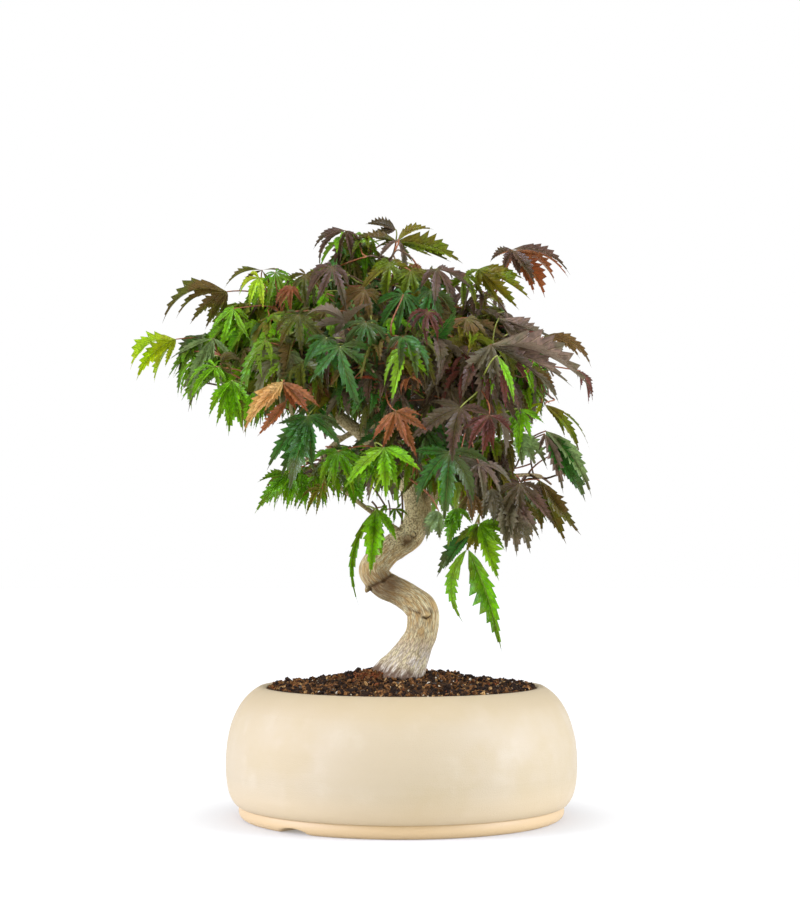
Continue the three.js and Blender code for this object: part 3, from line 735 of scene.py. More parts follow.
TRUNK_RINGS, TRUNK_SIDES = 460, 112
TRUNK = through(TRUNK_STATIONS, TRUNK_RINGS)
MOST_FOLD = 0.9  # of the radius of a bend that the inside of a limb may reach to

# Pruning scars on the trunk, in millimetres: place, radius of the ring, and how far it stands out.
SCARS = [((16.8, -28.6, 138.6), 2.3, 1.9), ((-23, -13, 155), 2.0, 2.6), ((4.5, -15, 189), 2.2, 1.6),
         ((1, -14, 186), 1.3, 1.3), ((7.5, -14, 192), 1.4, 1.2), ((-7.5, -9.5, 204), 2.2, 1.2)]
# Creases in the bark, in millimetres: two ends, width and depth.
CREASES = [((1.5, -27, 142.5), (12, -29, 139), 1.2, 0.9), ((-5, -15, 167), (-12, -20, 161), 1.6, 1.5),
           ((-12, -20, 161), (-20, -19, 156.5), 1.3, 1.0), ((-20, -19, 156.5), (-26, -14, 154.5), 1.3, 0.8)]
# Painted shade on the bark where the trunk bends, by its knots, at the soil and on its right side under the
# fork, in millimetres: place and radius.
SHADED = [((-8, -19, 158), 11), ((-17, -18, 155), 6), ((4, -14, 187), 4.5), ((1, -13, 98), 5),
          ((17, -8, 200), 5)]
FLATTER = np.array([1, 0.35, 1])  # marks reach further into the trunk than across it


def limb_rings(path, radii, sides):
    """Reach and way out of a limb's rings, held in on the inside of its bends, and its grain."""
    tangents, turn, out = ways_out(path, sides)
    run = run_along(path)
    bend = np.einsum("rsk,rk->rs", out, np.gradient(tangents, axis=0) / (run[-1] / (len(path) - 1)))
    reach = np.minimum(radii[:, None], MOST_FOLD / np.maximum(bend, 1e-6))
    nominal, up = np.mean(radii), run[:, None] * 0.2
    grain = np.stack(np.broadcast_arrays(np.cos(turn) * nominal, np.sin(turn) * nominal, up), axis=-1)
    return reach, out, grain


def add_bark(heap, surface, ends, grain, marks):
    """Adds a closed limb, whose points hold the grain and marks of its bark."""
    held = np.concatenate([grain, marks], axis=-1)
    heap.add(*capped(surface, ends), np.concatenate([held[:1], held, held[-1:]]))


def to_segment(points, start, end):
    start, end = np.array(start) * MM * FLATTER, np.array(end) * MM * FLATTER
    points = points * FLATTER
    along = end - start
    share = np.clip(((points - start) @ along) / (along @ along), 0, 1)
    return np.linalg.norm(points - start - share[..., None] * along, axis=-1)


def make_trunk(bark):
    reach, out, grain = limb_rings(TRUNK[:, :3], TRUNK[:, 3], TRUNK_SIDES)
    share = np.linspace(0, 1, TRUNK_RINGS)[:, None]
    facing = np.arctan2(out[..., 1], out[..., 0])
    flare = np.clip(1 - share / 0.2, 0, 1)
    reach = reach * (1 + flare * (0.13 * np.cos(4 * facing + 0.4) + 0.07 * np.cos(7 * facing + 2)))
    surface = TRUNK[:, None, :3] + out * reach[..., None]
    relief = 0.5 * noise(surface, 14 * MM, 21) + 0.35 * noise(surface, 6 * MM, 22)
    relief += 0.3 * noise(grain, 1.6 * MM, 23) + 0.16 * noise(grain, 0.8 * MM, 24)
    relief += 0.35 * flare * noise(surface, 4 * MM, 25)
    # The bark's marks: painted shadow round the scars and in the creases, the scars' pale middles, and
    # painted shade.
    dark, pale, painted_shade = np.zeros((3, *relief.shape))
    front = ease(-out[..., 1], -0.1, 0.25)
    for place, radius, rise in SCARS:
        away = surface - np.array(place) * MM
        ragged = 0.45 * radius * noise(surface, 1.6 * MM, 28)
        apart = np.linalg.norm(away, axis=-1) / MM + ragged
        under = ease(unit(away)[..., 0] - unit(away)[..., 2], -1.0, 0.6)
        relief += rise * (bell(apart, 1.5 * radius) * 0.7 + bell(apart, 0.8 * radius) * 0.8)
        relief -= rise * 0.8 * bell(apart - radius * 1.3, 0.35 * radius) * under
        # A painted shadow rings each scar, darkest below it and to its right.
        dark = np.maximum(dark, (0.3 + 0.6 * under) * bell(apart - radius * 1.2, 0.4 * radius))
        pale = np.maximum(pale, 0.8 * bell(apart, 0.6 * radius))
    for start, end, width, depth in CREASES:
        apart = to_segment(surface, start, end) / MM + 0.5 * noise(surface, 3 * MM, 26)
        relief -= depth * bell(apart, width) * front
        # Painted shade darkens each crease on the trunk's front.
        dark = np.maximum(dark, 0.85 * bell(apart, width * 0.8) * front)
    for place, radius in SHADED:
        apart = np.linalg.norm(surface - np.array(place) * MM, axis=-1) / MM
        painted_shade = np.maximum(painted_shade, 0.9 * bell(apart + noise(surface, 4 * MM, 27), radius))
    surface += out * (relief * MM)[..., None]
    trunk = Heap()
    add_bark(trunk, surface, surface[[0, -1]].mean(axis=1), grain, np.stack([dark, pale, painted_shade], axis=-1))
    trunk.build("trunk_bark", bark, "bark", ["trunk"])


def add_limb(heap, path, radii, sides, seed):
    """A bough or shoot with slightly lumpy bark, closed at both ends, added to a heap of bark."""
    reach, out, grain = limb_rings(path, radii, sides)
    surface = path[:, None] + out * reach[..., None]
    surface += out * (0.07 * noise(surface, 5 * MM, seed) * reach)[..., None]
    add_bark(heap, surface, path[[0, -1]], grain, np.broadcast_to((0, 0, 0.35), grain.shape))


class Wood:
    """Every point that a new shoot can spring from: place, heading and thickness."""

    def __init__(self):
        self.places, self.headings, self.radii = np.zeros((0, 3)), np.zeros((0, 3)), np.zeros(0)

    def remember(self, path, radii):
        self.places = np.vstack([self.places, path])
        self.headings = np.vstack([self.headings, unit(np.gradient(path, axis=0))])
        self.radii = np.concatenate([self.radii, radii])

    def nearest(self, place):
        """The point that a shoot to a place springs from: near it, and not past it."""
        away = place - self.places
        far = np.linalg.norm(away, axis=1)
        turned_back = 1 - np.einsum("ij,ij->i", away / far[:, None], self.headings)
        best = np.argmin(far * (1 + 0.25 * turned_back))
        return self.places[best], self.headings[best], self.radii[best], far[best]


def shoot_path(start, heading, end, rise, rng, count):
    """A shoot that leaves its parent a little along it, and bows up on its way to its end."""
    far = np.linalg.norm(end - start)
    first = start + heading * far * 0.3 + UP * rise * 0.5
    second = end - unit(end - start) * far * 0.3 + UP * rise + rng.normal(0, 0.06, 3) * far
    return bezier([start, first, second, end], count)


def grow_boughs(wood, heap):
    """The boughs of the frame, each from the trunk to the middle of its mass."""
    for seed, (fork, end, radius, lift) in enumerate(BOUGHS.values()):
        start = TRUNK[int(fork * (TRUNK_RINGS - 1)), :3]
        end = np.array(end) * MM
        knee = (start + end) / 2 + UP * lift * MM
        share = np.linspace(0, 1, 46)[:, None]
        path = start * (1 - share) ** 2 + 2 * knee * share * (1 - share) + end * share**2
        radii = radius * MM * (1 - 0.45 * share[:, 0])
        bent = path + 0.8 * MM * np.stack([noise(path, 22 * MM, 31 + seed + k) for k in range(3)], axis=1)
        bent[0] = path[0]
        add_limb(heap, bent, radii, 16, seed)
        wood.remember(bent[6:], radii[6:])


def grow_shoots(wood, heap, ends, thick, thin, rise, rng):
    """Grows a shoot to each of the ends, always to the one nearest to the wood so far."""
    waiting = [np.array(end) for end in ends]
    grown = []
    while waiting:
        found = [wood.nearest(end) for end in waiting]
        pick = int(np.argmin([far for *_, far in found]))
        start, heading, parent, far = found[pick]
        end = waiting.pop(pick)
        count = max(5, int(far / (4 * MM)))
        path = shoot_path(start, heading, end, rise * far, rng, count)
        radii = np.linspace(min(parent * 0.75, thick), thin, count)
        add_limb(heap, path, radii, 7, int(rng.integers(1000)))
        wood.remember(path[count // 3:], radii[count // 3:])
        grown.append((path, unit(path[-1] - path[-2])))
    return grown


# ------------------------------------------------------------------ leaves

# A leaf has lobes spread like fingers: how far each is turned from the middle one, and its length.
LOBE_TURNS = {7: (-135, -91, -45, 0, 45, 91, 135), 5: (-98, -50, 0, 50, 98), 3: (-50, 0, 50)}
LOBE_REACH = {7: (0.36, 0.68, 0.91, 1, 0.91, 0.68, 0.36), 5: (0.56, 0.86, 1, 0.86, 0.56), 3: (0.6, 1, 0.6)}
BLADE = {"half_width": 0.104, "swell": 1.2, "taper": 2.0, "teeth": 10, "tooth": 0.2, "notch": 0.23}
ROWS = 2 * BLADE["teeth"] + 1
COLUMNS = np.array([-1, 0, 0, 1])  # the two halves of a lobe meet in a crease along its rib


def leaf_rows(reach, turns, stout, rng):
    """Share of the way along, half widths and forward lean of the rows of points of each lobe."""
    share = np.linspace(0, 1, ROWS)
    swell, taper = BLADE["swell"], BLADE["taper"]
    peak = (swell / (swell + taper)) ** swell * (taper / (swell + taper)) ** taper
    half = stout * BLADE["half_width"] * (share**swell * (1 - share) ** taper / peak + 0.03 * (1 - share))
    odd = np.arange(ROWS) % 2 == 1
    toothy = ease(share, 0.1, 0.3) * rng.uniform(0.1, 1.7, (len(COLUMNS), len(reach), ROWS))
    half = half * (1 + toothy * np.where(odd, BLADE["tooth"], -BLADE["notch"])) * reach[:, None]
    gaps = np.radians(np.concatenate([[90], np.diff(turns), [90]]) / 2)
    sides = []
    for column, edge in zip(COLUMNS, half):
        gap = gaps[:-1] if column < 0 else gaps[1:]
        wall = 1.05 * share * reach[:, None] * np.tan(gap)[:, None]
        sides.append(column * np.where(share < 0.35, np.minimum(edge, wall), edge))
    lean = np.where(odd, 1.1, 0.0) * ease(share, 0.1, 0.3) * (1 - ease(share, 0.85, 1)) / (ROWS - 1)
    return share, np.stack(sides, axis=-1), lean


def lay_blades(places, headings, across, reach, rows, twist, rng):
    """Points, plan and lobes of blades laid along paths: folded along the rib, waved and twisted."""
    share, widths, lean = rows
    lobes = len(reach)
    flat = unit(across[:, None] - headings * (headings * across[:, None]).sum(axis=-1, keepdims=True))
    up = np.cross(flat, headings)
    tilt = (rng.normal(0, twist, lobes)[:, None] * share)[..., None]
    flat, up = flat * np.cos(tilt) + up * np.sin(tilt), up * np.cos(tilt) - flat * np.sin(tilt)
    part = share[None, :, None]
    fold, wave = rng.uniform(0.25, 1.25, lobes)[:, None, None], rng.uniform(0.1, 0.4)
    phases = rng.uniform(0, WHOLE_TURN, (lobes, 1, 1))
    rise = fold * ease(part, 0, 0.3) + 0.15 + wave * part * np.sin(9 * part + phases + 2 * COLUMNS)
    ahead = lean[None, :, None] * reach[:, None, None] * np.abs(COLUMNS)
    points = (places[:, :, None] + flat[:, :, None] * widths[..., None]
              + headings[:, :, None] * ahead[..., None] + up[:, :, None] * (np.abs(widths) * rise)[..., None])
    strips = (np.arange(lobes)[:, None, None] + 0.5 + 0.48 * COLUMNS) / LOBES
    return points, np.stack(np.broadcast_arrays(strips, part), axis=-1), lobes


def leaf_shape(heart, along, face, size, lobes, droop, rng):
    """A leaf whose middle lobe sets out along, and whose blade faces face."""
    face = unit(face - along * (face @ along))
    turns = np.array(LOBE_TURNS[lobes], float) * rng.uniform(0.85, 1.02)
    reach = size * np.array(LOBE_REACH[lobes]) * rng.uniform(0.84, 1.16, lobes)
    rows = leaf_rows(reach, turns, rng.uniform(0.8, 1.15) * (0.86 if lobes == 7 else 1), rng)
    side = unit(np.cross(along, face))
    turn = np.radians(turns)[:, None]
    heading = unit(along * np.cos(turn) + side * np.sin(turn) - face * rng.uniform(0.0, 0.35))
    across = unit(np.cross(heading, face))
    bend = rng.normal(0, 0.5, lobes)[:, None, None]
    curl = rng.uniform(-0.2, 1.0, lobes)[:, None, None]
    sag = droop * rng.uniform(0.5, 1.6, lobes)[:, None, None]
    part = rows[0][None, :, None]
    headings = unit(heading[:, None] + DOWN * 1.6 * sag * part**1.3 - face * curl * part**1.5
                    + across[:, None] * bend * part)
    steps = headings * reach[:, None, None] / (ROWS - 1)
    places = heart + np.cumsum(steps, axis=1) - steps
    return lay_blades(places, headings, across, reach, rows, 0.5, rng)


def lobe_to(heart, tip, bow, stout, lift, rng):
    """A single lobe from a leaf's heart to its tip, bowed outwards and upwards by a share of its length."""
    straight = tip - heart
    reach = np.linalg.norm(straight, keepdims=True)
    turn = 1 if straight[0] >= 0 else -1
    outward = np.array([-straight[2] * turn, 0, straight[0] * turn])
    middle = (heart + tip) / 2 + outward * bow
    rows = leaf_rows(reach, np.zeros(1), stout, rng)
    part = rows[0][:, None]
    places = (1 - part) ** 2 * heart + 2 * part * (1 - part) * middle + part**2 * tip
    headings = unit((1 - part) * (middle - heart) + part * (tip - middle))
    face = unit(np.array([rng.normal(0, 0.15), lift - 1, lift]))
    across = unit(np.cross(straight, face))
    return lay_blades(places[None], headings[None], across[None], reach, rows, 0.25, rng)


def leaf_faces(lobes):
    strips = grid_faces(ROWS, len(COLUMNS), False).reshape(ROWS - 1, -1, 4)[:, [0, 2]].reshape(-1, 4)
    return np.concatenate([strips + k * ROWS * len(COLUMNS) for k in range(lobes)])


LEAF_FACES = {lobes: leaf_faces(lobes) for lobes in (1, 3, 5, 7)}

# Blade, underside and tip colours of each tint, its gloss and how far the tip's colour shows.
TINTS = {
    "lime": ((172, 214, 10), (174, 204, 64), (206, 180, 34), 0.38, 0.4),
    "bright": ((130, 196, 20), (128, 164, 48), (128, 128, 12), 0.34, 0.4),
    "mid": ((104, 166, 12), (112, 146, 40), (122, 108, 14), 0.32, 0.5),
    "deep": ((66, 122, 44), (90, 126, 60), (100, 82, 56), 0.3, 0.6),
    "olive": ((110, 132, 12), (124, 130, 44), (144, 90, 26), 0.36, 0.5),
    "olive_dark": ((92, 98, 22), (112, 112, 52), (116, 78, 40), 0.34, 0.7),
    "smoke_green": ((138, 164, 98), (136, 148, 102), (110, 88, 70), 0.32, 0.8),
    "smoke": ((138, 114, 98), (136, 120, 98), (92, 104, 62), 0.3, 0.55),
    "bronze": ((116, 106, 46), (132, 116, 70), (124, 78, 44), 0.34, 0.65),
    "purple": ((110, 82, 68), (120, 104, 82), (84, 92, 48), 0.3, 0.5),
    "plum": ((116, 68, 58), (130, 96, 78), (136, 60, 46), 0.32, 0.5),
    "rust": ((164, 102, 58), (178, 128, 80), (158, 76, 38), 0.38, 0.6),
    "tan": ((226, 182, 108), (220, 182, 120), (204, 136, 74), 0.44, 0.5),
    "red": ((150, 62, 28), (160, 94, 54), (132, 48, 28), 0.38, 0.5),
}
RIB_COLOUR = (206, 196, 120)  # ribs are halfway between this and the blade
GREENS = ("lime", "bright", "mid", "deep", "olive", "olive_dark", "smoke_green")
FRESH = ("lime", "bright", "mid", "deep")  # their stalks are mostly green

# Leaves that the tree is known by: tint, heart in millimetres, the way that the middle lobe
# points as seen from the front (degrees up from the right), how far it comes towards the front,
# how far the blade faces up, its length in millimetres, its lobes and how it droops.
KNOWN_LEAVES = [
    ("mid", (-4, -36, 209), -60, 10, 0.4, 13, 5, 0.3),
    ("mid", (-10, -36, 211), -150, 10, 0.4, 11, 3, 0.3),
    ("bright", (-111, -55, 341), -118, 25, 0.4, 25, 7, 0.4),
    ("lime", (-95, -45, 363), -128, 20, 0.5, 25, 5, 0.6),
    ("bright", (-123, -52, 303), -140, 20, 0.4, 29, 7, 0.5),
    ("purple", (-46, -60, 368), -110, 25, 0.5, 35, 7, 0.6),
    ("purple", (23, -60, 367), -46, 20, 0.6, 38, 5, 0.5),
    ("plum", (17, -98, 334), -112, 25, 0.45, 25, 7, 0.4),
    ("olive", (-8, -50, 372), -100, 20, 0.4, 32, 7, 0.5),
    ("olive", (6, -56, 366), -70, 20, 0.4, 34, 7, 0.5),
    ("mid", (-84, -48, 366), -60, 20, 0.4, 26, 7, 0.4),
    ("olive_dark", (-64, -46, 365), -100, 20, 0.4, 28, 7, 0.4),
    ("olive", (42, -56, 363), -100, 20, 0.4, 27, 7, 0.4),
    ("deep", (1, -74, 348), -95, 20, 0.3, 36, 7, 0.4),
    ("deep", (19, -66, 352), -60, 15, 0.4, 34, 7, 0.4),
    ("bronze", (-24, -66, 352), -118, 15, 0.4, 34, 7, 0.5),
    ("purple", (37, -108, 272), -108, 20, 0.4, 42, 5, 0.3),
    ("olive", (-52, -62, 222), -150, 15, 0.4, 20, 7, 0.5),
    ("mid", (-41, -90, 245), -100, 20, 0.35, 33, 7, 0.4),
    ("deep", (-48, -110, 316), -112, 20, 0.3, 29, 7, 0.3),
    ("deep", (-39, -116, 310), -82, 15, 0.2, 44, 5, 0.15),
    ("deep", (-23, -104, 327), -110, 25, 0.45, 38, 7, 0.3),
    ("olive_dark", (-67, -88, 333), -86, 20, 0.3, 33, 7, 0.3),
    ("rust", (-73, -60, 355), -130, 20, 0.5, 20, 7, 0.4),
    ("deep", (30, -108, 244), -92, 12, 0.15, 46, 5, 0.1),
    ("smoke", (37, -96, 241), -80, 15, 0.25, 40, 5, 0.2),
    ("smoke", (49, -98, 237), -35, 15, 0.5, 29, 7, 0.5),
    ("purple", (77, -66, 225), -86, 15, 0.3, 37, 7, 0.2),
]

# Leaves whose every lobe is known: tint, heart, how far the blade faces up, and for each lobe
# the x and z of its tip, how stout it is and how far it is bowed.
KNOWN_LOBES = [
    ("bronze", (-119, -64, 304), 0.5, [(-105, 303, 1.1, 0.7), (-106, 300, 1, -0.7), (-112, 296, 1.2, 0.5),
        (-109, 310, 1.1, 0.5), (-104, 306, 1, 0.2)]),
    ("bright", (-112, -60, 293), 0.3, [(-127, 268, 1, 0.1), (-122, 262, 1, 0.05), (-114, 256, 1, 0),
        (-104, 259, 1, 0), (-98, 270, 1, 0.1)]),
    ("bright", (-96, -66, 286), 0.3, [(-103, 262, 1, 0.05), (-93, 264, 1, 0), (-88, 272, 1, 0.1)]),
    ("rust", (-73, -113, 276), 0.3, [(-91, 253, 1.2, -0.05), (-82, 259, 1.1, 0)]),
    ("bright", (51, -60, 199), 0.35, [(64, 161, 1.5, -0.04), (74, 188, 1.6, 0.1), (70, 195, 1.4, 0.1),
        (68, 181, 1.2, 0.05), (42, 190, 1.2, 0.1), (57, 182, 1.2, 0)]),
    ("smoke_green", (24, -70, 207), 0.3, [(16, 187, 2, 0.1), (25, 188, 2.2, 0), (13, 198, 1.4, 0.1)]),
    ("mid", (36, -66, 209), 0.3, [(30, 182, 1.5, 0.06), (38, 193, 1.6, 0), (26, 194, 1.2, 0.1),
        (46, 198, 1.4, 0.1), (33, 189, 2, 0)]),
    ("bronze", (45, -64, 219), 0.3, [(46, 199, 1.6, 0), (39, 201, 1.3, 0.1), (53, 200, 1.3, 0.1)]),
    ("smoke", (59, -64, 222), 0.3, [(60, 199, 1.6, 0), (66, 203, 1.4, 0.1), (53, 200, 1.4, 0.1)]),
    ("mid", (-33, -60, 230), 0.3, [(-25, 211, 2, 0), (-39, 215, 1.4, 0.1), (-31, 208, 1.4, 0)]),
    ("olive", (50, -57, 198), 0.3, [(42, 180, 1.6, 0), (34, 184, 1.2, 0.1), (48, 178, 1.2, 0)]),
    ("smoke", (71, -60, 216), 0.3, [(68, 180, 1.5, 0.05), (75, 177, 1.5, 0), (84, 179, 1.4, 0.05),
        (60, 191, 1.1, 0.1), (90, 188, 1, 0.1)]),
    ("bronze", (80, -56, 214), 0.3, [(86, 188, 1, 0.05), (78, 186, 0.9, 0), (92, 196, 0.9, 0.1)]),
    ("bright", (78, -62, 274), 0.35, [(85, 252, 1.1, 0.05), (94, 264, 1, 0.1), (76, 242, 1.1, 0),
        (66, 250, 1, 0.1)]),
    ("smoke_green", (77, -58, 259), 0.35, [(96, 234, 1.4, 0.12), (88, 236, 1.7, 0.05), (79, 235, 1.7, 0)]),
    ("rust", (75, -30, 383), 0.5, [(112, 363, 0.8, 0.3), (104, 361, 0.9, 0.28), (96, 350, 1.4, 0.15),
        (89, 353, 1.4, 0.1), (79, 366, 1.3, 0), (60, 376, 1.5, 0.25), (67, 366, 1.3, 0.05)]),
    ("olive", (51, -50, 368), 0.3, [(85, 346, 1, 0.1), (78, 340, 1.1, 0), (66, 343, 1.1, 0),
        (49, 350, 1.4, 0), (38, 358, 1.1, 0.1), (82, 360, 0.8, 0.15)]),
    ("olive", (-3, -20, 391), 0.5, [(22, 399, 1.3, 0.3), (42, 376, 1.3, 0.17), (34, 377, 1.5, 0.03),
        (22, 379, 0.7, 0), (8, 375, 0.9, 0)]),
    ("smoke", (-2, -24, 392), 0.4, [(3, 361, 0.6, 0.1), (-17, 376, 0.9, 0.1)]),
    ("olive_dark", (-4, -18, 392), 0.4, [(-35, 391, 1.2, 0.1), (-23, 395, 1.3, 0), (-17, 388, 1.2, -0.1)]),
    ("purple", (-4, -14, 400), 0.3, [(-25, 404, 1.8, 0.1), (-23, 396, 1.6, 0), (-21, 405, 1.5, 0.05),
        (-14, 400, 1.5, 0)]),
    ("purple", (-38, -22, 398), 0.4, [(-60, 384, 0.9, 0.33), (-55, 371, 0.6, 0.45), (-42, 366, 1, 0.1),
        (-34, 374, 1, 0.1), (-26, 385, 1.1, 0.2)]),
    ("olive_dark", (-118, -25, 356), 0.5, [(-162, 334, 1, 0.45), (-152, 337, 1.1, 0.34),
        (-143, 333, 1.1, 0.15), (-133, 330, 1.2, 0.05), (-121, 334, 1.2, 0)]),
    ("olive_dark", (-94, -30, 370), 0.7, [(-119, 357, 0.8, 0.3), (-110, 354, 0.8, 0.2),
        (-88, 352, 0.9, 0), (-70, 362, 0.7, 0.25)]),
    ("lime", (-154, -12, 325), 0.5, [(-184, 303, 1.5, 0.4), (-180, 296, 1.2, 0.24),
        (-169, 295, 1.1, 0.15), (-161, 305, 1.1, 0)]),
    ("smoke_green", (-126, -40, 323), 0.3, [(-142, 273, 0.9, 0.05), (-147, 286, 0.8, -0.06),
        (-155, 307, 0.5, 0.1), (-131, 297, 1, 0), (-112, 306, 0.8, 0.1)]),
    ("tan", (-75, -114, 288), 0.3, [(-100, 255, 1, 0.14), (-96, 262, 1, 0.08), (-87, 268, 1.2, 0),
        (-93, 274, 1, 0.1)]),
    ("rust", (-75, -112, 288), 0.3, [(-50, 270, 0.8, 0.1), (-58, 267, 1.3, 0.05), (-66, 268, 1, 0)]),
    ("deep", (-60, -100, 267), 0.2, [(-86, 232, 1, 0.1), (-72, 216, 1.1, 0), (-56, 230, 1.1, 0),
        (-38, 245, 1.1, 0.2), (-34, 254, 0.9, 0.25), (-80, 262, 1.2, 0), (-77, 226, 1.3, 0.03)]),
    ("mid", (-74, -60, 232), 0.3, [(-96, 205, 1.1, 0.08), (-90, 214, 0.8, 0.1), (-78, 210, 1, 0),
        (-67, 214, 1, 0), (-95, 226, 1.1, 0.1)]),
    ("rust", (-4, -122, 269), 0.25, [(17, 256, 1.2, 0.05), (10, 238, 0.9, 0.05), (4, 246, 1.1, 0),
        (-19, 249, 0.9, 0.1), (-13, 244, 1, 0), (14, 265, 0.9, 0.1)]),
    ("bright", (-11, -120, 246), 0.25, [(13, 230, 1, 0.1), (-10, 212, 1.1, 0), (-37, 218, 0.9, 0.12),
        (-27, 241, 0.8, 0.1), (6, 242, 0.8, 0.1), (-2, 219, 1.1, 0.03)]),
    ("bronze", (93, -60, 322), 0.5, [(125, 301, 0.9, 0.38), (117, 307, 1, 0.3), (109, 303, 1.1, 0.1)]),
    ("smoke", (64, -62, 334), 0.5, [(93, 324, 0.7, -0.06), (99, 320, 1, 0), (90, 314, 1.1, 0),
        (76, 312, 1.1, 0)]),
    ("smoke", (57, -100, 313), 0.5, [(120, 284, 1.1, 0.22), (108, 284, 1.1, 0.12), (102, 291, 1, 0.1),
        (90, 288, 0.9, 0.08), (48, 269, 1.1, 0), (37, 281, 1.1, 0.05), (62, 277, 1.1, 0)]),
    ("bronze", (84, -60, 303), 0.4, [(102, 283, 1.1, 0.15), (94, 280, 1, 0.05)]),
    ("smoke", (84, -64, 300), 0.4, [(103, 277, 0.8, 0.15), (88, 282, 1, 0)]),
    ("plum", (55, -116, 267), 0.3, [(41, 243, 0.9, 0.1), (50, 239, 1, 0), (58, 243, 1, 0),
        (70, 254, 1.2, 0.1), (36, 255, 0.8, 0.1)]),
    ("smoke_green", (95, -57, 260), 0.3, [(125, 216, 0.8, 0.18)]),
    ("deep", (95, -55, 260), 0.3, [(121, 213, 1.4, 0.08), (115, 221, 1.3, 0.05)]),
    ("smoke", (94, -58, 258), 0.3, [(106, 218, 0.9, 0.08), (90, 246, 1, 0)]),
    ("olive_dark", (92, -40, 228), 0.3, [(119, 191, 1, -0.04), (110, 185, 1.1, -0.03), (93, 192, 1.2, 0),
        (85, 211, 1, 0)]),
    ("olive", (95, -48, 278), 0.5, [(125, 248, 0.3, 0.27), (117, 243, 0.7, 0.22), (108, 255, 1, 0.15)]),
    ("lime", (93, -47, 279), 0.5, [(82, 272, 1.2, 0.1), (88, 268, 1.2, 0)]),
    ("bright", (-17, -36, 209), 0.15, [(-21, 164, 1.35, 0.02), (-13, 176, 1.3, 0), (-3, 186, 1, 0.12)]),
    ("mid", (-18, -35, 208), 0.3, [(-28, 143, 0.34, 0.31)]),
    ("mid", (44, -48, 182), 0.15, [(66, 114, 0.98, 0.07)]),
    ("bright", (43, -47, 182), 0.15, [(41, 133, 0.8, 0.38)]),
    ("deep", (46, -46, 193), 0.4, [(23, 163, 1.3, 0.14), (28, 168, 1.4, 0.1), (34, 176, 1.4, 0.05)]),
    ("bright", (60, -120, 304), 0.2, [(70, 271, 0.6, 0.12)]),
    ("red", (-30, -114, 290), 0.5, [(-12, 288, 1.1, 0.1)]),
    ("purple", (74, -36, 383), 0.4, [(59, 374, 1.3, 0.25), (68, 366, 1.2, 0.1), (80, 364, 1.4, 0),
        (89, 357, 1.2, 0.1), (113, 365, 0.7, 0.34)]),
]

MASSES, SPRAYS = (sorted(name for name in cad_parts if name.startswith(kind))
                  for kind in ("foliage", "spray"))
# Bare twigs beside the trunk, in millimetres: two ends and the radius.
TWIGS = [((-23, -30, 228), (-11, -30, 211), 0.6), ((0, -22, 221), (0, -22, 199), 0.7),
         ((-9, -30, 215), (-8, -30, 204), 0.5), ((-20, -34, 214), (-16, -34, 208), 0.7)]

# Middle and half size of each mass, and of what lies between the masses.
BETWEEN = (np.array([-12, -25, 326]) * MM, np.array([80, 80, 36]) * MM)
CROWN = np.array([[(low + high) / 2, (high - low) / 2] for low, high in map(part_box, MASSES)] + [BETWEEN])


def depth_in_crown(points):
    """How far out each point lies in the mass that holds it best: 0 in its middle, 1 at its edge."""
    away = (points[..., None, :] - CROWN[:, 0]) / CROWN[:, 1]
    return np.sqrt((away**2).sum(axis=-1).min(axis=-1))


def seen_from_front(points):
    """Where each point is seen from the front, as x and z on the plane through the pot's axis."""
    shrink = 1 / (1 - points[..., 1] / CAMERA_AT[1])
    height = CAMERA_AT[2]
    return np.stack([points[..., 0] * shrink, height + (points[..., 2] - height) * shrink], axis=-1)


# Gaps where the sky shows between the masses, in millimetres as seen from the front: x, z and
# half the width and height. Smaller ones are strewn over the crown.
GAPS = [
    (-81, 263, 14, 6), (-85, 244, 6, 9), (-59, 251, 7, 10), (-37, 261, 7, 5), (-131, 285, 8, 9),
    (110, 291, 8, 12), (98, 263, 8, 8), (103, 274, 6, 5), (91, 233, 14, 5), (104, 227, 7, 6),
    (88, 345, 14, 6), (103, 336, 8, 5), (8, 384, 9, 5), (-9, 388, 5, 4), (32, 379, 9, 4),
    (-131, 262, 10, 12), (-62, 198, 36, 9),
]
SMALL_GAPS = np.random.default_rng(5).uniform((-110, 262, 0.9, 0.8), (100, 372, 2.2, 1.8), (18, 4))
SKY = np.concatenate([GAPS, SMALL_GAPS]) * MM


def in_sky(points):
    """Whether any of the points is seen against one of the gaps where the sky shows."""
    seen = seen_from_front(points)[..., None, :]
    return (((seen - SKY[:, :2]) / SKY[:, 2:]) ** 2).sum(axis=-1).min() < 1


# Which tints the sprays turn, from the left of the crown to its right, low down and at its top.
TURNING = {
    "left": ("bright", "bright", "bright", "mid", "mid", "deep", "olive", "olive_dark", "smoke_green",
             "bright"),
    "middle": ("mid", "deep", "deep", "deep", "olive_dark", "olive_dark", "olive", "purple", "purple",
               "bright", "smoke", "bronze", "rust"),
    "right": ("smoke", "smoke", "bronze", "purple", "purple", "purple", "plum", "olive", "olive_dark",
              "deep", "mid", "mid"),
    "low_left": ("bright", "bright", "bright", "bright", "mid", "mid", "lime", "olive", "smoke_green"),
    "low_right": ("smoke_green", "smoke_green", "bright", "bright", "lime", "olive", "smoke", "bronze"),
    "top": ("olive", "olive_dark", "olive_dark", "deep", "mid", "purple", "purple", "bronze"),
}
LOW_CROWN, HIGH_CROWN, LEFT_CROWN, RIGHT_CROWN = 265 * MM, 345 * MM, -45, 25


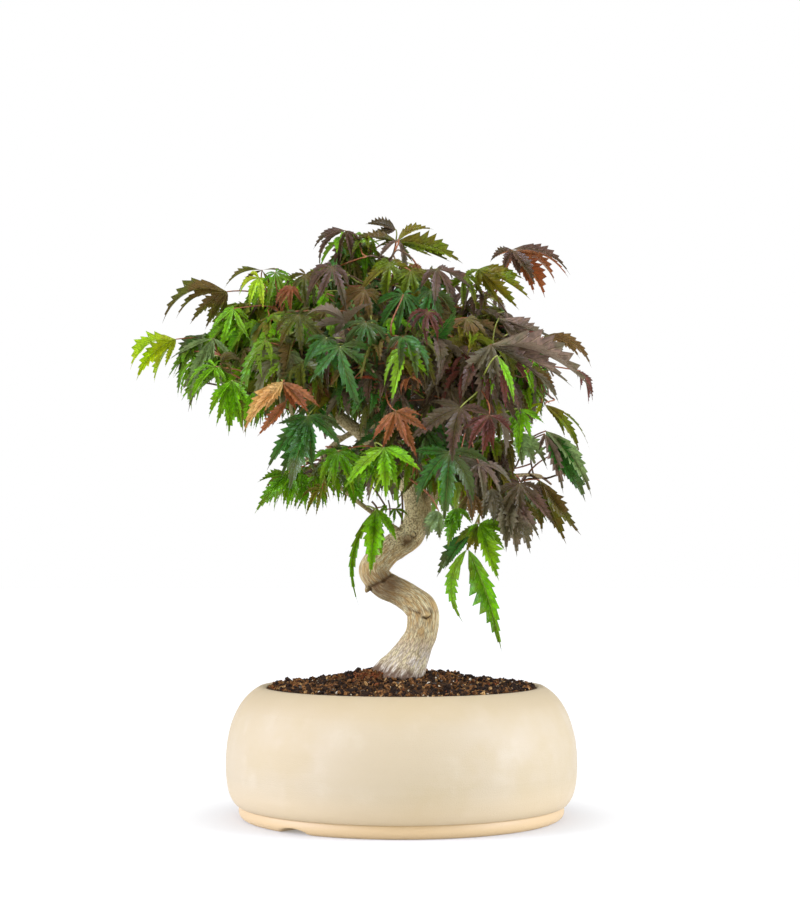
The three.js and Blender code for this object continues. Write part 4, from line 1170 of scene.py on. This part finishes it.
def tint_at(place, rng):
    """One of the tints that leaves have in that part of the crown."""
    x = place[0] / MM + rng.normal(0, 28)
    if place[2] < LOW_CROWN and rng.random() < 0.6:
        choice = TURNING["low_left" if x < RIGHT_CROWN else "low_right"]
    elif place[2] > HIGH_CROWN and rng.random() < 0.6:
        choice = TURNING["top"]
    else:
        choice = TURNING["left" if x < LEFT_CROWN else "middle" if x < RIGHT_CROWN else "right"]
    return choice[rng.integers(len(choice))]


class Foliage:
    """The leaves and their stalks, in one heap for each tint."""

    def __init__(self):
        self.blades = {tint: Heap() for tint in TINTS}
        self.stalks = {"stalks_red": Heap(), "stalks_green": Heap()}
        self.hearts = np.zeros((0, 3))
        self.clear = np.zeros((0, 3))  # places that other leaves stay out of the way of

    def leave_clear(self, place):
        self.clear = np.vstack([self.clear, place])

    def add(self, tint, root, leaving, heart, along, shapes, rng):
        """Adds a leaf of one or more shapes, with a stalk that leaves the wood at its root."""
        for points, plan, lobes in shapes:
            self.blades[tint].add(points, LEAF_FACES[lobes], plan)
        self.hearts = np.vstack([self.hearts, heart])
        far = np.linalg.norm(heart - root)
        reached = unit(along * 0.5 + unit(heart - root) + UP * 0.15)
        path = bezier([root, root + leaving * far * 0.35, heart - reached * far * 0.35, heart], 9)
        green = rng.random() < (0.6 if tint in FRESH else 0.2)
        stalk = tube(path, np.linspace(0.62, 0.42, 9) * MM, 5)
        self.stalks["stalks_green" if green else "stalks_red"].add(*stalk)


def known_direction(aim, toward):
    """The way given by its aim as seen from the front and how far it comes towards the front."""
    aim, toward = math.radians(aim), math.radians(toward)
    return np.array([math.cos(aim) * math.cos(toward), -math.sin(toward), math.sin(aim) * math.cos(toward)])


def add_known_leaves(foliage, wood, rng):
    for tint, heart, aim, toward, lift, size, lobes, droop in KNOWN_LEAVES:
        heart = np.array(heart) * MM
        root, heading, _, _ = wood.nearest(heart)
        along = known_direction(aim, toward)
        face = unit(UP * lift - np.array([0, 1 - lift, 0]))
        shape = leaf_shape(heart, along, face, size * MM, lobes, 0.4 + 1.5 * droop, rng)
        foliage.add(tint, root, unit(heading + UP * 0.5), heart, along, [shape], rng)
        foliage.leave_clear(heart)
    for tint, heart, lift, lobes in KNOWN_LOBES:
        heart = np.array(heart) * MM
        root, heading, _, _ = wood.nearest(heart)
        shapes = []
        for x, z, stout, bow in lobes:
            reach = math.hypot(x * MM - heart[0], z * MM - heart[2])
            tip = np.array([x * MM, heart[1] - reach * rng.uniform(-0.1, 0.3), z * MM])
            shapes.append(lobe_to(heart, tip, bow, stout, lift * rng.uniform(0.6, 1.3), rng))
            foliage.leave_clear((heart + tip) / 2)
        foliage.add(tint, root, unit(heading + UP * 0.5), heart, unit(tip - heart), shapes, rng)


def leafy_ends(rng):
    """Where the shoots of each mass end: spread through it and shaken."""
    ends = []
    for middle, half in CROWN:
        count = int(6 + 7 * np.prod(half) ** (1 / 3) / (36 * MM))
        for k in range(count):
            height = 1 - 2 * (k + 0.5) / count
            turn = 2.4 * k + rng.uniform(0, 1.2)
            flat = math.sqrt(1 - height**2)
            way = np.array([flat * math.cos(turn), flat * math.sin(turn), height])
            ends.append(middle + way * half * rng.uniform(0.3, 0.72))
    return ends


LEAST_APART = 8 * MM  # between the hearts of two leaves
LEAF_TRIES = 50  # for each shoot
HIDES = {"wide": 24 * MM, "deep": 4 * MM, "front": -20 * MM}
EDGE = {"tip": 1.12, "any": 1.22, "most": 1.04, "share_past": 0.08}  # how far out leaves may reach


def hides_known(heart, known):
    """Whether a leaf there would stand before one that the tree is known by."""
    near = np.linalg.norm((known - heart)[:, [0, 2]], axis=1) < HIDES["wide"]
    return (near & (known[:, 1] > heart[1] - HIDES["deep"])).any() and heart[1] < HIDES["front"]


def grow_leaves(foliage, shoots, rng):
    """Leaves round the end of each shoot, where they and their tips stay in the crown."""
    known = foliage.clear
    for path, heading in shoots:
        end = path[-1]
        spray_tint = tint_at(end, rng)
        outward = unit(unit(end - (0, 0, 0.25)) * (1, 1, 0) + heading * (0.8, 0.8, 0))
        wanted, kept = int(rng.integers(5, 9)), 0
        for _ in range(LEAF_TRIES):
            if kept >= wanted:
                break
            turn = rng.uniform(-1.9, 1.9)
            c, s = math.cos(turn), math.sin(turn)
            way = unit(np.array([outward[0] * c - outward[1] * s, outward[0] * s + outward[1] * c,
                                 rng.uniform(-0.5, 0.7)]))
            root = path[-1 - int(rng.integers(0, max(1, len(path) // 3)))]
            heart = root + way * rng.uniform(12, 34) * MM
            apart = np.linalg.norm(foliage.hearts - heart, axis=1).min()
            if apart < LEAST_APART or hides_known(heart, known):
                continue
            tint = spray_tint if rng.random() < 0.6 else tint_at(heart, rng)
            size = rng.uniform(24, 46) * MM * (0.55 if tint == "rust" else 1)
            level = unit(way * (1, 1, 0) + 1e-6)
            dip = math.radians(rng.uniform(-5, 50))
            along = level * math.cos(dip) + DOWN * math.sin(dip)
            face = level * math.sin(dip) + UP * math.cos(dip) + rng.normal(0, 0.5, 3)
            if depth_in_crown(heart + size * 0.8 * unit(along + DOWN * 0.8)) > EDGE["tip"]:
                continue
            lobes = 7 if rng.random() < 0.5 else 5
            shape = leaf_shape(heart, along, face, size, lobes, rng.uniform(0.4, 2.0), rng)
            sample = shape[0][:, 3::4, [0, 1, 3]]
            outside = depth_in_crown(sample)
            past = (outside > EDGE["most"]).mean() > EDGE["share_past"]
            if outside.max() > EDGE["any"] or past or in_sky(sample):
                continue
            kept += 1
            foliage.add(tint, root, unit(heading + way), heart, along, [shape], rng)


WOOD_FINISHES = {  # the two colours of each skin, and the slot of its piece
    "shoots": ("shoot_skin", paint(112, 84, 54), paint(78, 58, 40), "bark"),
    "stalks_red": ("red_stalk", paint(158, 92, 44), paint(116, 64, 34), "leaf_bronze"),
    "stalks_green": ("green_stalk", paint(164, 170, 76), paint(120, 132, 52), "leaf_green"),
}


def make_crown(bark):
    rng = np.random.default_rng(20)
    wood, boughs, thin_wood = Wood(), Heap(), Heap()
    wood.remember(TRUNK[-90:, :3], TRUNK[-90:, 3])
    grow_boughs(wood, boughs)
    hubs = [middle for middle, _ in CROWN[:-1]]
    grow_shoots(wood, boughs, hubs, 2.8 * MM, 1.5 * MM, 0.1, rng)
    shoots = grow_shoots(wood, thin_wood, leafy_ends(rng), 1.3 * MM, 0.65 * MM, 0.08, rng)
    for start, end, radius in TWIGS:
        middle = (np.array(start) + end) / 2 + (0.8, 0, 0)
        path = bezier(np.array([start, middle, middle, end]) * MM, 8)
        add_limb(thin_wood, path, np.full(8, radius * MM), 7, 3)
    foliage = Foliage()
    add_known_leaves(foliage, wood, np.random.default_rng(21))
    grow_leaves(foliage, shoots, rng)
    boughs.build("bough_bark", bark, "bark", BOUGHS)
    for name, heap in {"shoots": thin_wood, **foliage.stalks}.items():
        skin, pale, dark, slot = WOOD_FINISHES[name]
        heap.build(name, twig_finish(skin, pale, dark), slot)
    left = [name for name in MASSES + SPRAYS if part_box(name)[0][0] < -20 * MM]
    stands_for = {"mid": left, "purple": [name for name in MASSES + SPRAYS if name not in left]}
    for tint, (blade, under, tip, gloss, tip_share) in TINTS.items():
        rib = [(v + w) / 2 for v, w in zip(paint(*blade), paint(*RIB_COLOUR))]
        finish = leaf_finish("leaf_" + tint, paint(*blade), paint(*under), paint(*tip), rib, gloss, tip_share)
        slot = "leaf_green" if tint in GREENS else "leaf_bronze"
        foliage.blades[tint].build("leaves_" + tint, finish, slot, stands_for.get(tint, ()))


# ------------------------------------------------------------------ the whole

set_up_camera()
set_up_light()
add_floor()
BARK = bark_finish()
make_pot()
make_soil()
make_grit()
make_trunk(BARK)
make_crown(BARK)
